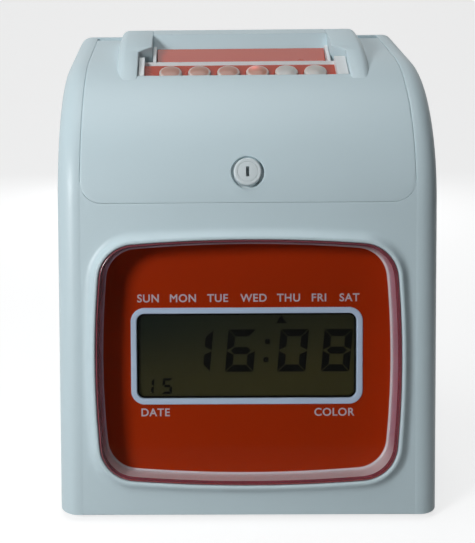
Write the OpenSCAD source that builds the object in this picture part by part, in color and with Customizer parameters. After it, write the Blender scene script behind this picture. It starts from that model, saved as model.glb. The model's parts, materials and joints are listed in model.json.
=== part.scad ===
// Electronic time clock with a card inlet, a hinged lid and a lit window.
// Millimetres, +Z up, front towards -Y, origin under the middle of the case.

/* [Case] */
// Width of the case
body_w = 174; // [168:1:186]
// Depth of the case at its foot
body_d = 150; // [144:1:165]
// Lean of the front face from upright
face_tilt = 12.7; // [9:0.1:15]
// Height of the case between the window and the lid
brow_h = 18.7; // [17:0.1:22]
// Radius of the lid's bend from front to top
lid_r = 80; // [76:1:86]
// Rise of the top towards the back
top_slope = 11; // [8:0.5:14]
// Rounding of the long edges of the case
edge_r = 9; // [6:0.5:11]
// Rounding of the back edges
rear_r = 6; // [4:0.5:7]
// Thickness of the moulded walls
wall = 2.8; // [2.2:0.1:3.4]
// Depth of the rear cover
rear_depth = 8; // [7:0.5:10]
// Height of the rubber feet
foot_h = 3; // [2:0.5:6]
// Radius of a rubber foot
foot_r = 7; // [5:0.5:9]
// Thickness of the base plate
base_t = 3; // [2:0.5:4]
// Play between moulded pieces that stay still
fit = 0.15; // [0.1:0.05:0.3]

/* [Lid] */
// Width of the case beside the lid
shoulder_w = 11.1; // [9:0.1:13]
// Radius of the lid's lower corners
lid_corner_r = 10; // [6:0.5:14]
// Seam between lid and case
seam_gap = 0.5; // [0.4:0.05:0.8]
// Radius of the rolled rear edge
hinge_r = 5; // [4:0.25:5.5]
// Place of the hinge in front of the rear cover
hinge_back = 6.79; // [5.8:0.01:8.8]
// Radius of a hinge pin
pin_r = 2; // [1.5:0.1:2.5]
// Reach of a hinge pin into the lid
pin_reach = 9; // [6:0.5:14]
// Running play of shafts and pins
running = 0.05; // [0.03:0.01:0.08]

/* [Card collar] */
// Height of the collar over the top
collar_h = 7.5; // [6:0.25:9]
// Width of the collar
collar_w = 123; // [118:1:128]
// Front of the collar's rear wall, behind the bend
collar_front = 18; // [16:0.5:20]
// Back of the collar's rear wall, behind the bend
collar_back = 33; // [30:0.5:34]
// Radius of the sloping arms
collar_r = 86; // [84:0.5:88]
// Rounding of the collar's outer edges
collar_edge = 4.5; // [3:0.5:6]
// Width of the opening over the keys
key_opening_w = 102; // [99:0.5:103]
// Width of the opening over the card slot
slot_opening_w = 89; // [87:0.5:93]
// Angle of the lid where the opening starts
lip_angle = 26.2; // [25.4:0.1:28]

/* [Window] */
// Width of the case beside the window
win_side = 18; // [15:0.5:22]
// Height of the window
win_h = 109; // [100:1:112]
// Height of the case under the window
win_foot = 14.8; // [12:0.1:17]
// Bulge of the window's sides
win_bulge = 3.5; // [2:0.5:5]
// Radius of the window's corners
win_corner = 16; // [10:1:22]
// Height of the raised rim
rim_h = 3; // [2:0.25:3.2]
// Width of the raised rim at its foot
rim_w = 5; // [3.5:0.5:6]
// Width of the rim's crest
rim_crest = 1.6; // [1:0.1:2.2]
// Thickness of the window's front
lens_t = 2.4; // [1.6:0.2:3]
// Wall of the window's skirt
lens_wall = 2; // [1.4:0.1:2.4]
// Depth of the orange plate behind the face
plate_depth = 13.2; // [11:0.2:15]
// Thickness of the orange plate
plate_t = 2; // [1.5:0.1:2.5]

/* [Display] */
// Width of the display border
disp_w = 109; // [100:1:114]
// Height of the display border
disp_h = 45.5; // [40:0.5:50]
// Place of the display over the window's middle
disp_up = 1.3; // [-1:0.1:3]
// Width of the border
border = 2.9; // [2:0.1:4]
// Corner radius of the border
border_r = 6.5; // [4.5:0.5:9]
// Thickness of the display glass
lcd_t = 2.8; // [2:0.2:3.6]

/* [Keys] */
// Distance between keys
key_pitch = 14.1; // [13.5:0.1:15]
// Diameter of a key
key_d = 11; // [10:0.25:11.5]
// Height of a key over its panel
key_h = 2.4; // [1.8:0.2:3]
// Travel of a key
key_travel = 1.2; // [0.8:0.1:1.4]
// Slope of the key panel
panel_tilt = 30; // [26:1:33]
// Thickness of the key panel
panel_t = 1.6; // [1.2:0.1:2]

/* [Card slot] */
// Width of a card
card_w = 84; // [80:0.5:85]
// Opening of the slot
slot_gap = 5.2; // [5:0.1:5.6]
// Depth of the card's path behind the face
chute_d = 48.4; // [47.5:0.1:49.5]
// Thickness of the guide plates
guide_t = 1.5; // [1.2:0.1:1.8]

/* [Lock] */
// Diameter of the lock's face
lock_d = 16; // [14:0.5:18]
// Diameter of the lock's barrel
lock_barrel = 12; // [10:0.5:12.5]
// Angle of the lid at the lock
lock_angle = 67.3; // [64:0.5:70]
// Length of the lock behind the lid
lock_len = 11; // [10:0.5:12]

/* [Mechanism] */
// Thickness of the side frames
frame_t = 1.6; // [1.2:0.1:2]
// Radius of the carriage rod
rod_r = 3; // [2:0.25:3.5]
// Radius of the feed shaft
shaft_r = 3; // [2:0.25:3.5]
// Radius of a feed roller
roller_r = 9; // [8:0.25:10]
// Teeth of the feed gear
gear_teeth = 28; // [24:1:30]
// Teeth of the motor pinion
pinion_teeth = 12; // [10:1:14]
// Size of a tooth
gear_module = 1; // [0.9:0.05:1.05]
// Pitch radius of a belt pulley
pulley_r = 6; // [5:0.25:6.25]
// Distance from the middle to a belt pulley
pulley_x = 40; // [38:0.5:41]
// Travel of the print carriage to each side
carriage_travel = 24; // [18:0.5:25]

/* [Hidden] */
$fn = 64;

case_white = "#c3d2d6";
plate_orange = "#a8380a";
steel_grey = "#9aa0a4";
board_green = "#2f6b45";

half_w = body_w / 2;
lid_w = body_w - 2 * shoulder_w;
win_w = body_w - 2 * win_side;
win_s = win_foot + win_h / 2;
disp_s = win_s + disp_up;
seam_s = win_foot + win_h + brow_h;
back_y = body_d / 2;
far = 260;
rear_y = back_y - rear_depth;
base_top = foot_h + base_t;

// Place on the front face: s up its slope, d into the case
function face_y(s, d) = -back_y + s * sin(face_tilt) + d * cos(face_tilt);
function face_z(s, d) = foot_h + s * cos(face_tilt) - d * sin(face_tilt);
function face_s(y, z) = (y + back_y) * sin(face_tilt) + (z - foot_h) * cos(face_tilt);
function face_d(y, z) = (y + back_y) * cos(face_tilt) - (z - foot_h) * sin(face_tilt);

bend_y = face_y(seam_s, lid_r);
bend_z = face_z(seam_s, lid_r);
bend_sweep = 90 - face_tilt - top_slope;
crest_y = bend_y - lid_r * sin(top_slope);
crest_z = bend_z + lid_r * cos(top_slope);

// The rolled edge lies just under the top and a little of the top runs past its middle
hinge_drop = hinge_r + 0.15;
hinge_tail = 1;
hinge_q = (rear_y - crest_y) / cos(top_slope) - hinge_back;
hinge_y = crest_y + hinge_q * cos(top_slope) + hinge_drop * sin(top_slope);
hinge_z = crest_z + hinge_q * sin(top_slope) - hinge_drop * cos(top_slope);

// The card path and the key panel follow the bend of the lid
slot_top_s = seam_s + lid_r * sin(bend_sweep) - 1.5;
bar_t = 3;
bar_d = chute_d - slot_gap / 2 - bar_t - 0.7;
front_guide_d = chute_d - slot_gap / 2 - guide_t;
rear_guide_d = chute_d + slot_gap / 2;
lead_s = 8.2;
lead_d = 6.8;
panel_up = 7.8;
panel_down = 9;
panel_y = face_y(slot_top_s - bar_t, bar_d) - panel_up * cos(panel_tilt);
panel_z = face_z(slot_top_s - bar_t, bar_d) - panel_up * sin(panel_tilt);
key_play = 0.25;
key_flange = 0.9;
board_t = 1.2;
key_board_n = -(panel_t + 0.2 + key_flange + key_travel + 2.6);

// Heights of the mechanism up the front face
rod_s = seam_s + 11.5;
rod_d = chute_d - 13.9;
guide_s = seam_s + 29.5;
guide_d = chute_d - 19.4;
guide_r = 2;
belt_s = seam_s - 5.5;
belt_t = 1.2;
belt_w = 4;
beam_d = chute_d - 22.4;
beam_t = 1.5;
print_s = seam_s + 22.5;
print_h = 10;
ribbon_s = seam_s + 35.5;
ribbon_h = 10;
feed_s = seam_s - 30;
feed_d = chute_d + roller_r;
pinch_r = 5;
pinch_d = chute_d - pinch_r - 0.2;
gear_r = gear_module * gear_teeth / 2;
pinion_r = gear_module * pinion_teeth / 2;
gear_reach = gear_r + pinion_r + 0.1;
motor_angle = 45;
motor_s = feed_s - gear_reach * sin(motor_angle);
motor_d = feed_d + gear_reach * cos(motor_angle);
frame_x = key_opening_w / 2 - 0.4;
frame_out = frame_x + frame_t;

key_x = [for (i = [0:5]) (i - 2.5) * key_pitch];

// Frames of reference

module on_face() translate([0, -back_y, foot_h]) rotate([90 - face_tilt, 0, 0]) children();
module on_top() translate([0, crest_y, crest_z]) rotate([top_slope - 90, 0, 0]) children();
module on_bend(angle) translate([0, bend_y, bend_z]) rotate([angle, 0, 0])
    translate([0, 0, lid_r]) children();
module on_panel() translate([0, panel_y, panel_z]) rotate([panel_tilt, 0, 0]) children();

// A profile drawn in depth and height, carried along X between two places
module along_x(x0, x1) translate([x0, 0, 0]) rotate([90, 0, 90]) linear_extrude(x1 - x0) children();

// A profile drawn up the face (s) and into the case (-d), carried along X
module face_profile(x0, x1, points) on_face() along_x(x0, x1) polygon(points);

// A block on the face frame between two corners given as x, s, d
module face_block(x0, x1, s0, s1, d0, d1)
    on_face() translate([x0, s0, -d1]) cube([x1 - x0, s1 - s0, d1 - d0]);

// A round bar along X on the face frame
module face_bar(x0, x1, s, d, r) on_face() translate([x0, s, -d]) rotate([0, 90, 0])
    cylinder(r = r, h = x1 - x0);

// A round bar into the case on the face frame
module face_post(x, s, d0, d1, r) on_face() translate([x, s, -d1]) cylinder(r = r, h = d1 - d0);

// Outlines

module round_rect(w, h, r) {
    square([w, h - 2 * r], center = true);
    square([w - 2 * r, h], center = true);
    for (x = [-1, 1], y = [-1, 1])
        translate([x * (w / 2 - r), y * (h / 2 - r)]) circle(r);
}

// Bulged four-sided outline: side arcs of a given rise joined by corner arcs
function arc_radius(chord, rise) = (chord * chord / 4 + rise * rise) / (2 * rise);
function tv_points(w, h, rise, r, side_n = 8, corner_n = 8) =
    let (
        top_r = arc_radius(w, rise),
        side_r = arc_radius(h, rise),
        top_c = h / 2 - top_r,
        side_c = w / 2 - side_r,
        a = top_r - r,
        b = side_r - r,
        gap = sqrt(top_c * top_c + side_c * side_c),
        along = (a * a - b * b + gap * gap) / (2 * gap),
        off = sqrt(a * a - along * along),
        ux = side_c / gap,
        uy = -top_c / gap,
        cx = ux * along - uy * off,
        cy = top_c + uy * along + ux * off,
        corner = cx > 0 && cy > 0 ? [cx, cy] : [ux * along + uy * off, top_c + uy * along - ux * off],
        a0 = atan2(corner[1], corner[0] - side_c),
        a1 = atan2(corner[1] - top_c, corner[0]),
        quarter = concat(
            [for (i = [0:side_n - 1]) let (q = a0 * i / side_n) [side_c + side_r * cos(q), side_r * sin(q)]],
            [for (i = [0:corner_n]) let (q = a0 + (a1 - a0) * i / corner_n)
                [corner[0] + r * cos(q), corner[1] + r * sin(q)]],
            [for (i = [1:side_n - 1]) let (q = a1 + (90 - a1) * i / side_n)
                [top_r * cos(q), top_c + top_r * sin(q)]]),
        n = len(quarter))
    concat(
        quarter,
        [[0, h / 2]],
        [for (i = [n - 1:-1:0]) [-quarter[i][0], quarter[i][1]]],
        [for (i = [1:n - 1]) [-quarter[i][0], -quarter[i][1]]],
        [[0, -h / 2]],
        [for (i = [n - 1:-1:1]) [quarter[i][0], -quarter[i][1]]]);

module window_outline(grow) polygon(tv_points(win_w + 2 * grow, win_h + 2 * grow, win_bulge, win_corner + grow));

// Case form

// Cross-section of the case's skin: x across, y into the case
module skin_section(half, depth0, r, depth1) {
    translate([-half, depth0 + r]) square([2 * half, depth1 - depth0 - r]);
    translate([-half + r, depth0]) square([2 * (half - r), 2 * r]);
    for (side = [-1, 1]) translate([side * (half - r), depth0 + r]) circle(r);
}

// The section carried up the front, round the bend and along the top.
// The bend stands a hair proud and laps both ways, so no two faces coincide.
lap = 5;
proud = 0.04;

module skin_front(inset) translate([0, -back_y, foot_h]) rotate([-face_tilt, 0, 0])
    translate([0, 0, -far / 4]) linear_extrude(seam_s + far / 4)
        skin_section(half_w - inset, inset, edge_r - inset, far);

module skin_bend(inset) translate([0, bend_y, bend_z]) rotate([90 - face_tilt + lap, 0, 0]) rotate([0, -90, 0])
    rotate_extrude(angle = bend_sweep + 2 * lap)
        bend_section(half_w - inset + proud, lid_r - inset + proud, edge_r - inset);

module skin_top(inset) on_top() linear_extrude(far / 2)
    skin_section(half_w - inset - proud / 2, inset, edge_r - inset, far);

module skin(inset) {
    skin_front(inset);
    skin_bend(inset);
    skin_top(inset);
}

// The same section drawn outwards from the bend's axis
module bend_section(half, reach, r) {
    translate([0, -half]) square([reach - r, 2 * half]);
    translate([0, -half + r]) square([reach, 2 * (half - r)]);
    for (side = [-1, 1]) translate([reach - r, side * (half - r)]) circle(r);
}

// Side view of the case's middle, where the long edges aren't rounded: front, bend and top
module middle_profile(inset) {
    translate([bend_y, bend_z]) circle(lid_r - inset);
    translate([face_y(seam_s, inset), face_z(seam_s, inset)]) rotate(-face_tilt)
        translate([0, -seam_s]) square([lid_r, seam_s]);
    translate([crest_y, crest_z]) rotate(top_slope) translate([0, -lid_r]) square([lid_r, lid_r - inset]);
}

// Flat foot and rounded back edges, which cross the sides at a slight angle
round_over = 0.1;

module back_limit() translate([0, 0, foot_h]) linear_extrude(far)
    translate([0, back_y - far / 2]) round_rect(body_w + 2 * round_over, far, rear_r);

// Rounded edge between top and back
module brow_limit() {
    y = back_y - rear_r + round_over;
    z = crest_z + (y - crest_y) * tan(top_slope) - (rear_r - round_over) / cos(top_slope);
    fore_y = y - rear_r * sin(top_slope);
    along_x(-half_w - 1, half_w + 1) {
        polygon([[-far, 0], [y + rear_r, 0], [y + rear_r, z], [y, z],
            [fore_y, z + rear_r * cos(top_slope)], [fore_y, far], [-far, far]]);
        translate([y, z]) circle(rear_r);
    }
}

// What the lid takes out of the case, from the seam upwards
module lid_zone(inset) {
    half = lid_w / 2 - inset;
    r = lid_corner_r - inset;
    on_face() translate([0, 0, -far]) linear_extrude(2 * far) {
        translate([-half, seam_s + inset + r]) square([2 * half, far]);
        translate([-half + r, seam_s + inset]) square([2 * (half - r), 2 * r]);
        for (side = [-1, 1]) translate([side * (half - r), seam_s + inset + r]) circle(r);
    }
}

// Case pieces

skirt_t = 2.2;
plate_back = plate_depth + plate_t;
ear_x = win_w / 2 + 5.5;
boss_r = 4.5;
screw_r = 1.6;
boss_x = half_w - wall - 3.6;
boss_len = 12;
base_boss_y = [-back_y + 30, back_y - 40];
rear_boss_z = [foot_h + 22, crest_z - 62];
strike_half = 9;
strike_d = 11;

module hinge_line(x0, x1, r) translate([x0, hinge_y, hinge_z]) rotate([0, 90, 0]) cylinder(r = r, h = x1 - x0);

module window_rim() {
    on_face() translate([0, win_s, -wall / 2]) linear_extrude(wall / 2 + rim_h, slices = 1,
        scale = [(win_w + 2 * rim_crest) / (win_w + 2 * rim_w), (win_h + 2 * rim_crest) / (win_h + 2 * rim_w)])
        window_outline(rim_w);
    on_face() translate([0, win_s, -plate_depth]) linear_extrude(plate_depth) window_outline(skirt_t);
}

module main_housing() color(case_white) difference() {
    union() {
        difference() {
            skin(0);
            skin(wall);
            lid_zone(0);
            translate([-far / 2, rear_y, 0]) cube(far);
            translate([-far, -far, foot_h - far]) cube([2 * far, 2 * far, far]);
        }
        window_rim();
        for (side = [-1, 1]) {
            face_post(side * ear_x, win_s, wall / 2, plate_depth, 3.5);
            intersection() {
                hinge_line(side > 0 ? lid_w / 2 + fit : -half_w, side > 0 ? half_w : -lid_w / 2 - fit, hinge_r + 1);
                skin_top(wall / 2);
            }
            for (y = base_boss_y) translate([side * boss_x, y, base_top]) cylinder(r = boss_r, h = boss_len);
            for (z = rear_boss_z) translate([side * boss_x, rear_y, z]) rotate([90, 0, 0])
                cylinder(r = boss_r, h = boss_len);
        }
        face_block(-strike_half, strike_half, seam_s - 12, seam_s - 7, wall / 2, strike_d);
    }
    on_face() translate([0, win_s, -far / 4]) linear_extrude(far / 2) window_outline(0);
    for (side = [-1, 1]) {
        face_post(side * ear_x, win_s, wall, plate_depth + 1, screw_r);
        for (y = base_boss_y) translate([side * boss_x, y, base_top - 1]) cylinder(r = screw_r, h = boss_len - 1);
        for (z = rear_boss_z) translate([side * boss_x, rear_y + 1, z]) rotate([90, 0, 0])
            cylinder(r = screw_r, h = boss_len - 1);
    }
    hinge_line(-half_w + wall, half_w - wall, pin_r + running);
}

board_y = back_y - wall - 12;
board_half = 58;
board_z0 = 64;
board_z1 = 150;
board_hole_x = board_half - 5;
board_hole_z = [board_z0 + 6, board_z1 - 6];
inlet_x = half_w - 29;
inlet_z = foot_h + 24;
inlet_w = 12;
keyhole_x = 50;
keyhole_z = 168;
keyhole_r = 4.5;
keyhole_slot_r = 2.3;
keyhole_rise = 9;

module rear_cover() color(case_white) difference() {
    union() {
        difference() {
            intersection() {
                skin_top(0);
                back_limit();
                brow_limit();
            }
            intersection() {
                skin_top(wall);
                translate([-far / 2, -far, 0]) cube([far, far + back_y - wall, far]);
            }
            translate([-far / 2, rear_y - far, -1]) cube(far);
        }
        for (side = [-1, 1], z = rear_boss_z) translate([side * boss_x, back_y - wall / 2, z]) rotate([90, 0, 0])
            cylinder(r = boss_r, h = rear_depth - wall / 2);
        for (side = [-1, 1], z = board_hole_z) translate([side * board_hole_x, back_y - wall / 2, z])
            rotate([90, 0, 0]) cylinder(r = 3.5, h = back_y - wall / 2 - board_y);
    }
    for (side = [-1, 1]) {
        for (z = rear_boss_z) {
            translate([side * boss_x, back_y + 1, z]) rotate([90, 0, 0]) cylinder(r = screw_r + fit, h = far / 4);
            translate([side * boss_x, back_y + 1, z]) rotate([90, 0, 0]) cylinder(r = 3.2, h = 4);
        }
        for (z = board_hole_z) translate([side * board_hole_x, board_y - 1, z]) rotate([-90, 0, 0])
            cylinder(r = screw_r, h = 9);
        translate([side * keyhole_x, back_y + 1, keyhole_z]) rotate([90, 0, 0]) {
            cylinder(r = keyhole_r, h = 2 * wall);
            translate([-keyhole_slot_r, 0, 0]) cube([2 * keyhole_slot_r, keyhole_rise, 2 * wall]);
            translate([0, keyhole_rise, 0]) cylinder(r = keyhole_slot_r, h = 2 * wall);
        }
    }
    translate([inlet_x - inlet_w / 2 - fit, back_y - 2 * wall, inlet_z - inlet_w / 2 - fit])
        cube([inlet_w + 2 * fit, 3 * wall, inlet_w + 2 * fit]);
}

foot_inset = 22;

module base_plate() color(case_white) difference() {
    intersection() {
        skin_front(wall + fit);
        translate([-far / 2, -far, foot_h]) cube([far, far + back_y - wall - fit, base_t]);
    }
    for (side = [-1, 1], y = base_boss_y) translate([side * boss_x, y, 0]) {
        cylinder(r = screw_r + fit, h = far / 4);
        cylinder(r = 3.2, h = foot_h + 1.6);
    }
    for (i = [-4:4]) translate([i * 9 - 2, -back_y + 34, 0]) cube([4, 30, far / 4]);
}

module rubber_feet() color("#222426") for (x = [-1, 1], y = [-1, 1])
    translate([x * (half_w - foot_inset), y * (back_y - foot_inset), 0]) rotate_extrude()
        polygon([[0, 0], [foot_r - 1, 0], [foot_r, foot_h], [0, foot_h]]);

module hinge_pins() color(steel_grey) for (side = [-1, 1])
    hinge_line(side > 0 ? lid_w / 2 - pin_reach : -half_w + wall, side > 0 ? half_w - wall : -lid_w / 2 + pin_reach, pin_r);

// Lid

collar_half = collar_w / 2;
collar_sweep = 40;
collar_lap = 5;
collar_step = 0.05;
slot_y = face_y(slot_top_s + lead_s, rear_guide_d + lead_d) + 1.6;
lip_y = bend_y - lid_r * sin(lip_angle);
step_y = crest_y;
lock_seat = 0.5;

// Straight rear wall, and arms that bend down to the lid and run a little way into the wall
module collar_form() {
    on_top() translate([0, 0, collar_front]) linear_extrude(collar_back - collar_front)
        skin_section(collar_half - collar_step, collar_step - collar_h, collar_edge, hinge_r);
    on_top() translate([0, collar_r - collar_h, collar_front]) rotate([90 + collar_sweep, 0, 0])
        rotate([0, -90, 0]) rotate_extrude(angle = collar_sweep + collar_lap)
            bend_section(collar_half, collar_r, collar_edge);
}

module top_cover() color(case_white) difference() {
    union() {
        difference() {
            intersection() {
                union() {
                    along_x(-lid_w / 2, lid_w / 2) middle_profile(0);
                    collar_form();
                }
                lid_zone(seam_gap);
            }
            along_x(-half_w, half_w) middle_profile(wall);
            on_top() translate([-far / 2, -far / 2, hinge_q + hinge_tail]) cube(far);
        }
        hinge_line(-lid_w / 2 + seam_gap + fit, lid_w / 2 - seam_gap - fit, hinge_r);
    }
    translate([-key_opening_w / 2, lip_y, crest_z - 2 * lid_r / 5]) cube([key_opening_w, step_y - lip_y, lid_r]);
    translate([-slot_opening_w / 2, step_y - 1, crest_z - 2 * lid_r / 5])
        cube([slot_opening_w, slot_y - step_y + 1, lid_r]);
    on_top() translate([-collar_half + 2 * wall, wall - collar_h, collar_front + wall])
        cube([2 * collar_half - 4 * wall, collar_h + 1, collar_back - collar_front - 2 * wall]);
    on_bend(lock_angle) {
        translate([0, 0, -lid_r / 4]) cylinder(r = lock_barrel / 2 + fit, h = lid_r / 2);
        translate([0, 0, -lock_seat]) cylinder(r = lock_d / 2 + fit, h = lid_r / 4);
    }
    hinge_line(-lid_w / 2 - 1, -lid_w / 2 + pin_reach + 1, pin_r + running);
    hinge_line(lid_w / 2 - pin_reach - 1, lid_w / 2 + 1, pin_r + running);
}

// Window and display

module window_lens() color("#dfe8ea", 0.35) difference() {
    on_face() translate([0, win_s, -plate_depth]) linear_extrude(plate_depth + rim_h - 0.6) window_outline(-fit);
    on_face() translate([0, win_s, -plate_depth - 1]) linear_extrude(plate_depth + rim_h + 0.4 - lens_t)
        window_outline(-fit - lens_wall);
}

board_up = disp_h + 16;
board_wide = disp_w + 14;
post_x = board_wide / 2 - 3.5;
post_s = board_up / 2 - 3.5;

module face_plate() color(plate_orange) difference() {
    union() {
        on_face() translate([0, win_s, -plate_back]) linear_extrude(plate_t) {
            window_outline(skirt_t);
            for (side = [-1, 1]) {
                translate([side * ear_x, 0]) circle(3.5);
                translate([side * (ear_x - 4), 0]) square([8, 7], center = true);
            }
        }
        for (x = [-1, 1], s = [-1, 1]) face_post(x * post_x, disp_s + s * post_s, plate_back - 0.5, plate_back + lcd_t, 3);
    }
    on_face() translate([0, disp_s, -plate_back - 1]) linear_extrude(plate_t + 2)
        round_rect(disp_w - 2, disp_h - 2, border_r - 1);
    for (side = [-1, 1]) face_post(side * ear_x, win_s, plate_depth - 1, plate_back + 1, screw_r + fit);
    for (x = [-1, 1], s = [-1, 1]) face_post(x * post_x, disp_s + s * post_s, plate_back, plate_back + lcd_t + 1, 1.2);
}

module display_bezel() color("#cfe0ea") difference() {
    on_face() translate([0, disp_s, 0]) {
        translate([0, 0, -plate_depth]) linear_extrude(0.6) round_rect(disp_w, disp_h, border_r);
        translate([0, 0, -plate_back]) linear_extrude(plate_t)
            round_rect(disp_w - 2 - 2 * fit, disp_h - 2 - 2 * fit, border_r - 1 - fit);
    }
    on_face() translate([0, disp_s, -plate_back - 1]) linear_extrude(plate_t + 4)
        round_rect(disp_w - 2 * border, disp_h - 2 * border, border_r - border);
}

module lcd_glass() color("#20261f") on_face() translate([0, disp_s, -plate_back - lcd_t]) linear_extrude(lcd_t)
    square([disp_w - 1, disp_h - 1], center = true);

module display_board() color(board_green) difference() {
    union() {
        face_block(-board_wide / 2, board_wide / 2, disp_s - board_up / 2, disp_s + board_up / 2,
            plate_back + lcd_t, plate_back + lcd_t + board_t);
        face_block(-16, 16, disp_s - 9, disp_s - 3, plate_back + lcd_t + board_t / 2, plate_back + lcd_t + board_t + 5);
        face_block(-9, 9, disp_s + 4, disp_s + 16, plate_back + lcd_t + board_t / 2, plate_back + lcd_t + board_t + 2.5);
    }
    for (x = [-1, 1], s = [-1, 1])
        face_post(x * post_x, disp_s + s * post_s, plate_back, plate_back + lcd_t + 2 * board_t, 1.2 + fit);
}

// Lock

plug_r = 4.6;
lock_end = wall + lock_len;
cam_t = 2;
cam_reach = 21;
cam_w = 9;

module lock_body() color("#d8e0e2") on_bend(lock_angle) difference() {
    union() {
        rotate_extrude() {
            translate([0, -lock_seat]) square([lock_d / 2 - 1, 2.1]);
            translate([0, -lock_seat]) square([lock_d / 2, 1.1]);
            translate([lock_d / 2 - 1, 0.6]) circle(1);
        }
        translate([0, 0, -lock_end]) cylinder(r = lock_barrel / 2, h = lock_end);
    }
    translate([0, 0, -lock_end - 1]) cylinder(r = plug_r + running, h = lock_end + 5);
}

module lock_nut() color(steel_grey) on_bend(lock_angle) translate([0, 0, -wall - 4.7]) difference() {
    cylinder(r = lock_barrel / 2 + 3.5, h = 4, $fn = 6);
    translate([0, 0, -1]) cylinder(r = lock_barrel / 2 + running, h = 6);
}

module lock_plug() color("#cfd8da") on_bend(lock_angle) difference() {
    translate([0, 0, -lock_end - 0.4]) cylinder(r = plug_r, h = lock_end + 1.8);
    translate([-0.75, -2.7, -4]) cube([1.5, 5.4, 8]);
}

module lock_cam() color(steel_grey) on_bend(lock_angle) translate([0, 0, -lock_end - 0.4 - cam_t]) linear_extrude(cam_t) {
    circle(cam_w / 2);
    translate([0, -cam_w / 2]) square([cam_reach - cam_w / 2, cam_w]);
    translate([cam_reach - cam_w / 2, 0]) circle(cam_w / 2);
}

// Keys

flange_n = -panel_t - 0.2 - key_flange;

module key_panel() color(plate_orange) on_panel() difference() {
    translate([-frame_x, -panel_down, -panel_t]) cube([2 * frame_x, panel_up + panel_down, panel_t]);
    for (x = key_x) translate([x, 0, -panel_t - 1]) cylinder(r = key_d / 2 + key_play, h = panel_t + 2);
}

module button(i) color(i < 4 ? "#d9a79a" : "#d9d9d6") on_panel() translate([key_x[i], 0, 0]) {
    intersection() {
        translate([0, 0, flange_n]) cylinder(r = key_d / 2, h = key_h - flange_n);
        translate([0, 0, key_h - 1.4 * key_d]) sphere(1.4 * key_d);
    }
    translate([0, 0, flange_n]) cylinder(r = key_d / 2 + 0.9, h = key_flange);
    translate([0, 0, flange_n - 1]) cylinder(r = 1.4, h = 1 + key_flange);
}

module key_board() color(board_green) on_panel() {
    translate([-frame_x, -8, key_board_n - board_t]) cube([2 * frame_x, 10.5, board_t]);
    for (x = key_x) {
        translate([x - 2.4, -2.4, key_board_n]) cube([4.8, 4.8, 1]);
        translate([x, 0, key_board_n]) cylinder(r = 1.6, h = 1.3);
    }
}

module column_lamps() color("#d02818") on_panel() for (i = [0:3]) translate([key_x[i], -5.2, key_board_n]) {
    cylinder(r = 1.2, h = 1.2);
    translate([0, 0, 1.2]) sphere(1.2);
}

module button_1() button(0);
module button_2() button(1);
module button_3() button(2);
module button_4() button(3);
module button_5() button(4);
module button_6() button(5);

// Card path

chute_low = 58;
cheek_in = card_w / 2 + 0.5;
cheek_out = slot_opening_w / 2 - 0.4;
strip_ends = [-frame_x + 2.6, frame_x - 5.4];
strip_cheek_h = 3;
strip_cheek_down = 5;
feed_x = 25;
feed_w = 12;
print_half = cheek_in;

module card_guide_front() color("#dfe6e6") difference() {
    union() {
        face_block(-frame_x, frame_x, chute_low, slot_top_s - bar_t, front_guide_d, front_guide_d + guide_t);
        face_block(-key_opening_w / 2 + 0.5, key_opening_w / 2 - 0.5, slot_top_s - bar_t - 0.1, slot_top_s,
            bar_d, front_guide_d + guide_t);
        for (side = [-1, 1]) {
            face_block(side > 0 ? cheek_in : -frame_x, side > 0 ? frame_x : -cheek_in, chute_low, slot_top_s - 8,
                front_guide_d, rear_guide_d);
            face_profile(side > 0 ? cheek_in : -cheek_out, side > 0 ? cheek_out : -cheek_in, [
                [slot_top_s - 9, -front_guide_d], [slot_top_s, -front_guide_d],
                [slot_top_s + lead_s + 1, -rear_guide_d - lead_d + 1],
                [slot_top_s + lead_s, -rear_guide_d - lead_d - 1], [slot_top_s - 2, -rear_guide_d - guide_t],
                [slot_top_s - 7.9, -rear_guide_d]]);
        }
        on_panel() for (ends = [[-frame_x, strip_ends[0]], [strip_ends[1], frame_x]])
            translate([ends[0], -strip_cheek_down, 0])
                cube([ends[1] - ends[0], strip_cheek_down + panel_up + bar_t, strip_cheek_h]);
    }
    face_block(-print_half, print_half, print_s - 6, print_s + 6, 0, chute_d);
    for (side = [-1, 1]) face_block(side * feed_x - feed_w / 2 - 1, side * feed_x + feed_w / 2 + 1,
        feed_s - pinch_r - 1, feed_s + pinch_r + 1, 0, chute_d);
    face_bar(-frame_x - 1, frame_x + 1, feed_s, pinch_d, pinch_axle_r + fit);
}

module card_guide_rear() color(plate_orange) difference() {
    union() {
        face_block(-frame_x, frame_x, chute_low, slot_top_s - 8.1, rear_guide_d, rear_guide_d + guide_t);
        face_profile(-cheek_in + 0.2, cheek_in - 0.2, [
            [slot_top_s - 9, -rear_guide_d], [slot_top_s, -rear_guide_d],
            [slot_top_s + lead_s, -rear_guide_d - lead_d],
            [slot_top_s + lead_s - 1.2, -rear_guide_d - lead_d - 1], [slot_top_s - 1, -rear_guide_d - guide_t],
            [slot_top_s - 9, -rear_guide_d - guide_t]]);
    }
    face_block(-print_half - 0.5, print_half + 0.5, print_s - 5.5, print_s + 5.5, chute_d, rear_guide_d + 2 * guide_t);
    for (side = [-1, 1]) face_block(side * feed_x - feed_w / 2 - 1, side * feed_x + feed_w / 2 + 1,
        feed_s - roller_r, feed_s + roller_r, chute_d, rear_guide_d + 2 * guide_t);
}

// Chassis of the print unit

frame_front = chute_d - 12.4;
frame_fore = chute_d - 26.4;
frame_back = chute_d + 30;
tie_places = [[chute_low + 4, chute_d + 22], [seam_s + 44, chute_d + 9]];
tie_r = 2.5;

// Height up the face of a point at depth d and height z
function face_rise(d, z) = (z - foot_h + d * sin(face_tilt)) / cos(face_tilt);

// A point on the key panel, up its slope, seen on the face frame
function panel_point(u) = let (y = panel_y + u * cos(panel_tilt), z = panel_z + u * sin(panel_tilt))
    [face_s(y, z), -face_d(y, z)];

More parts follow.
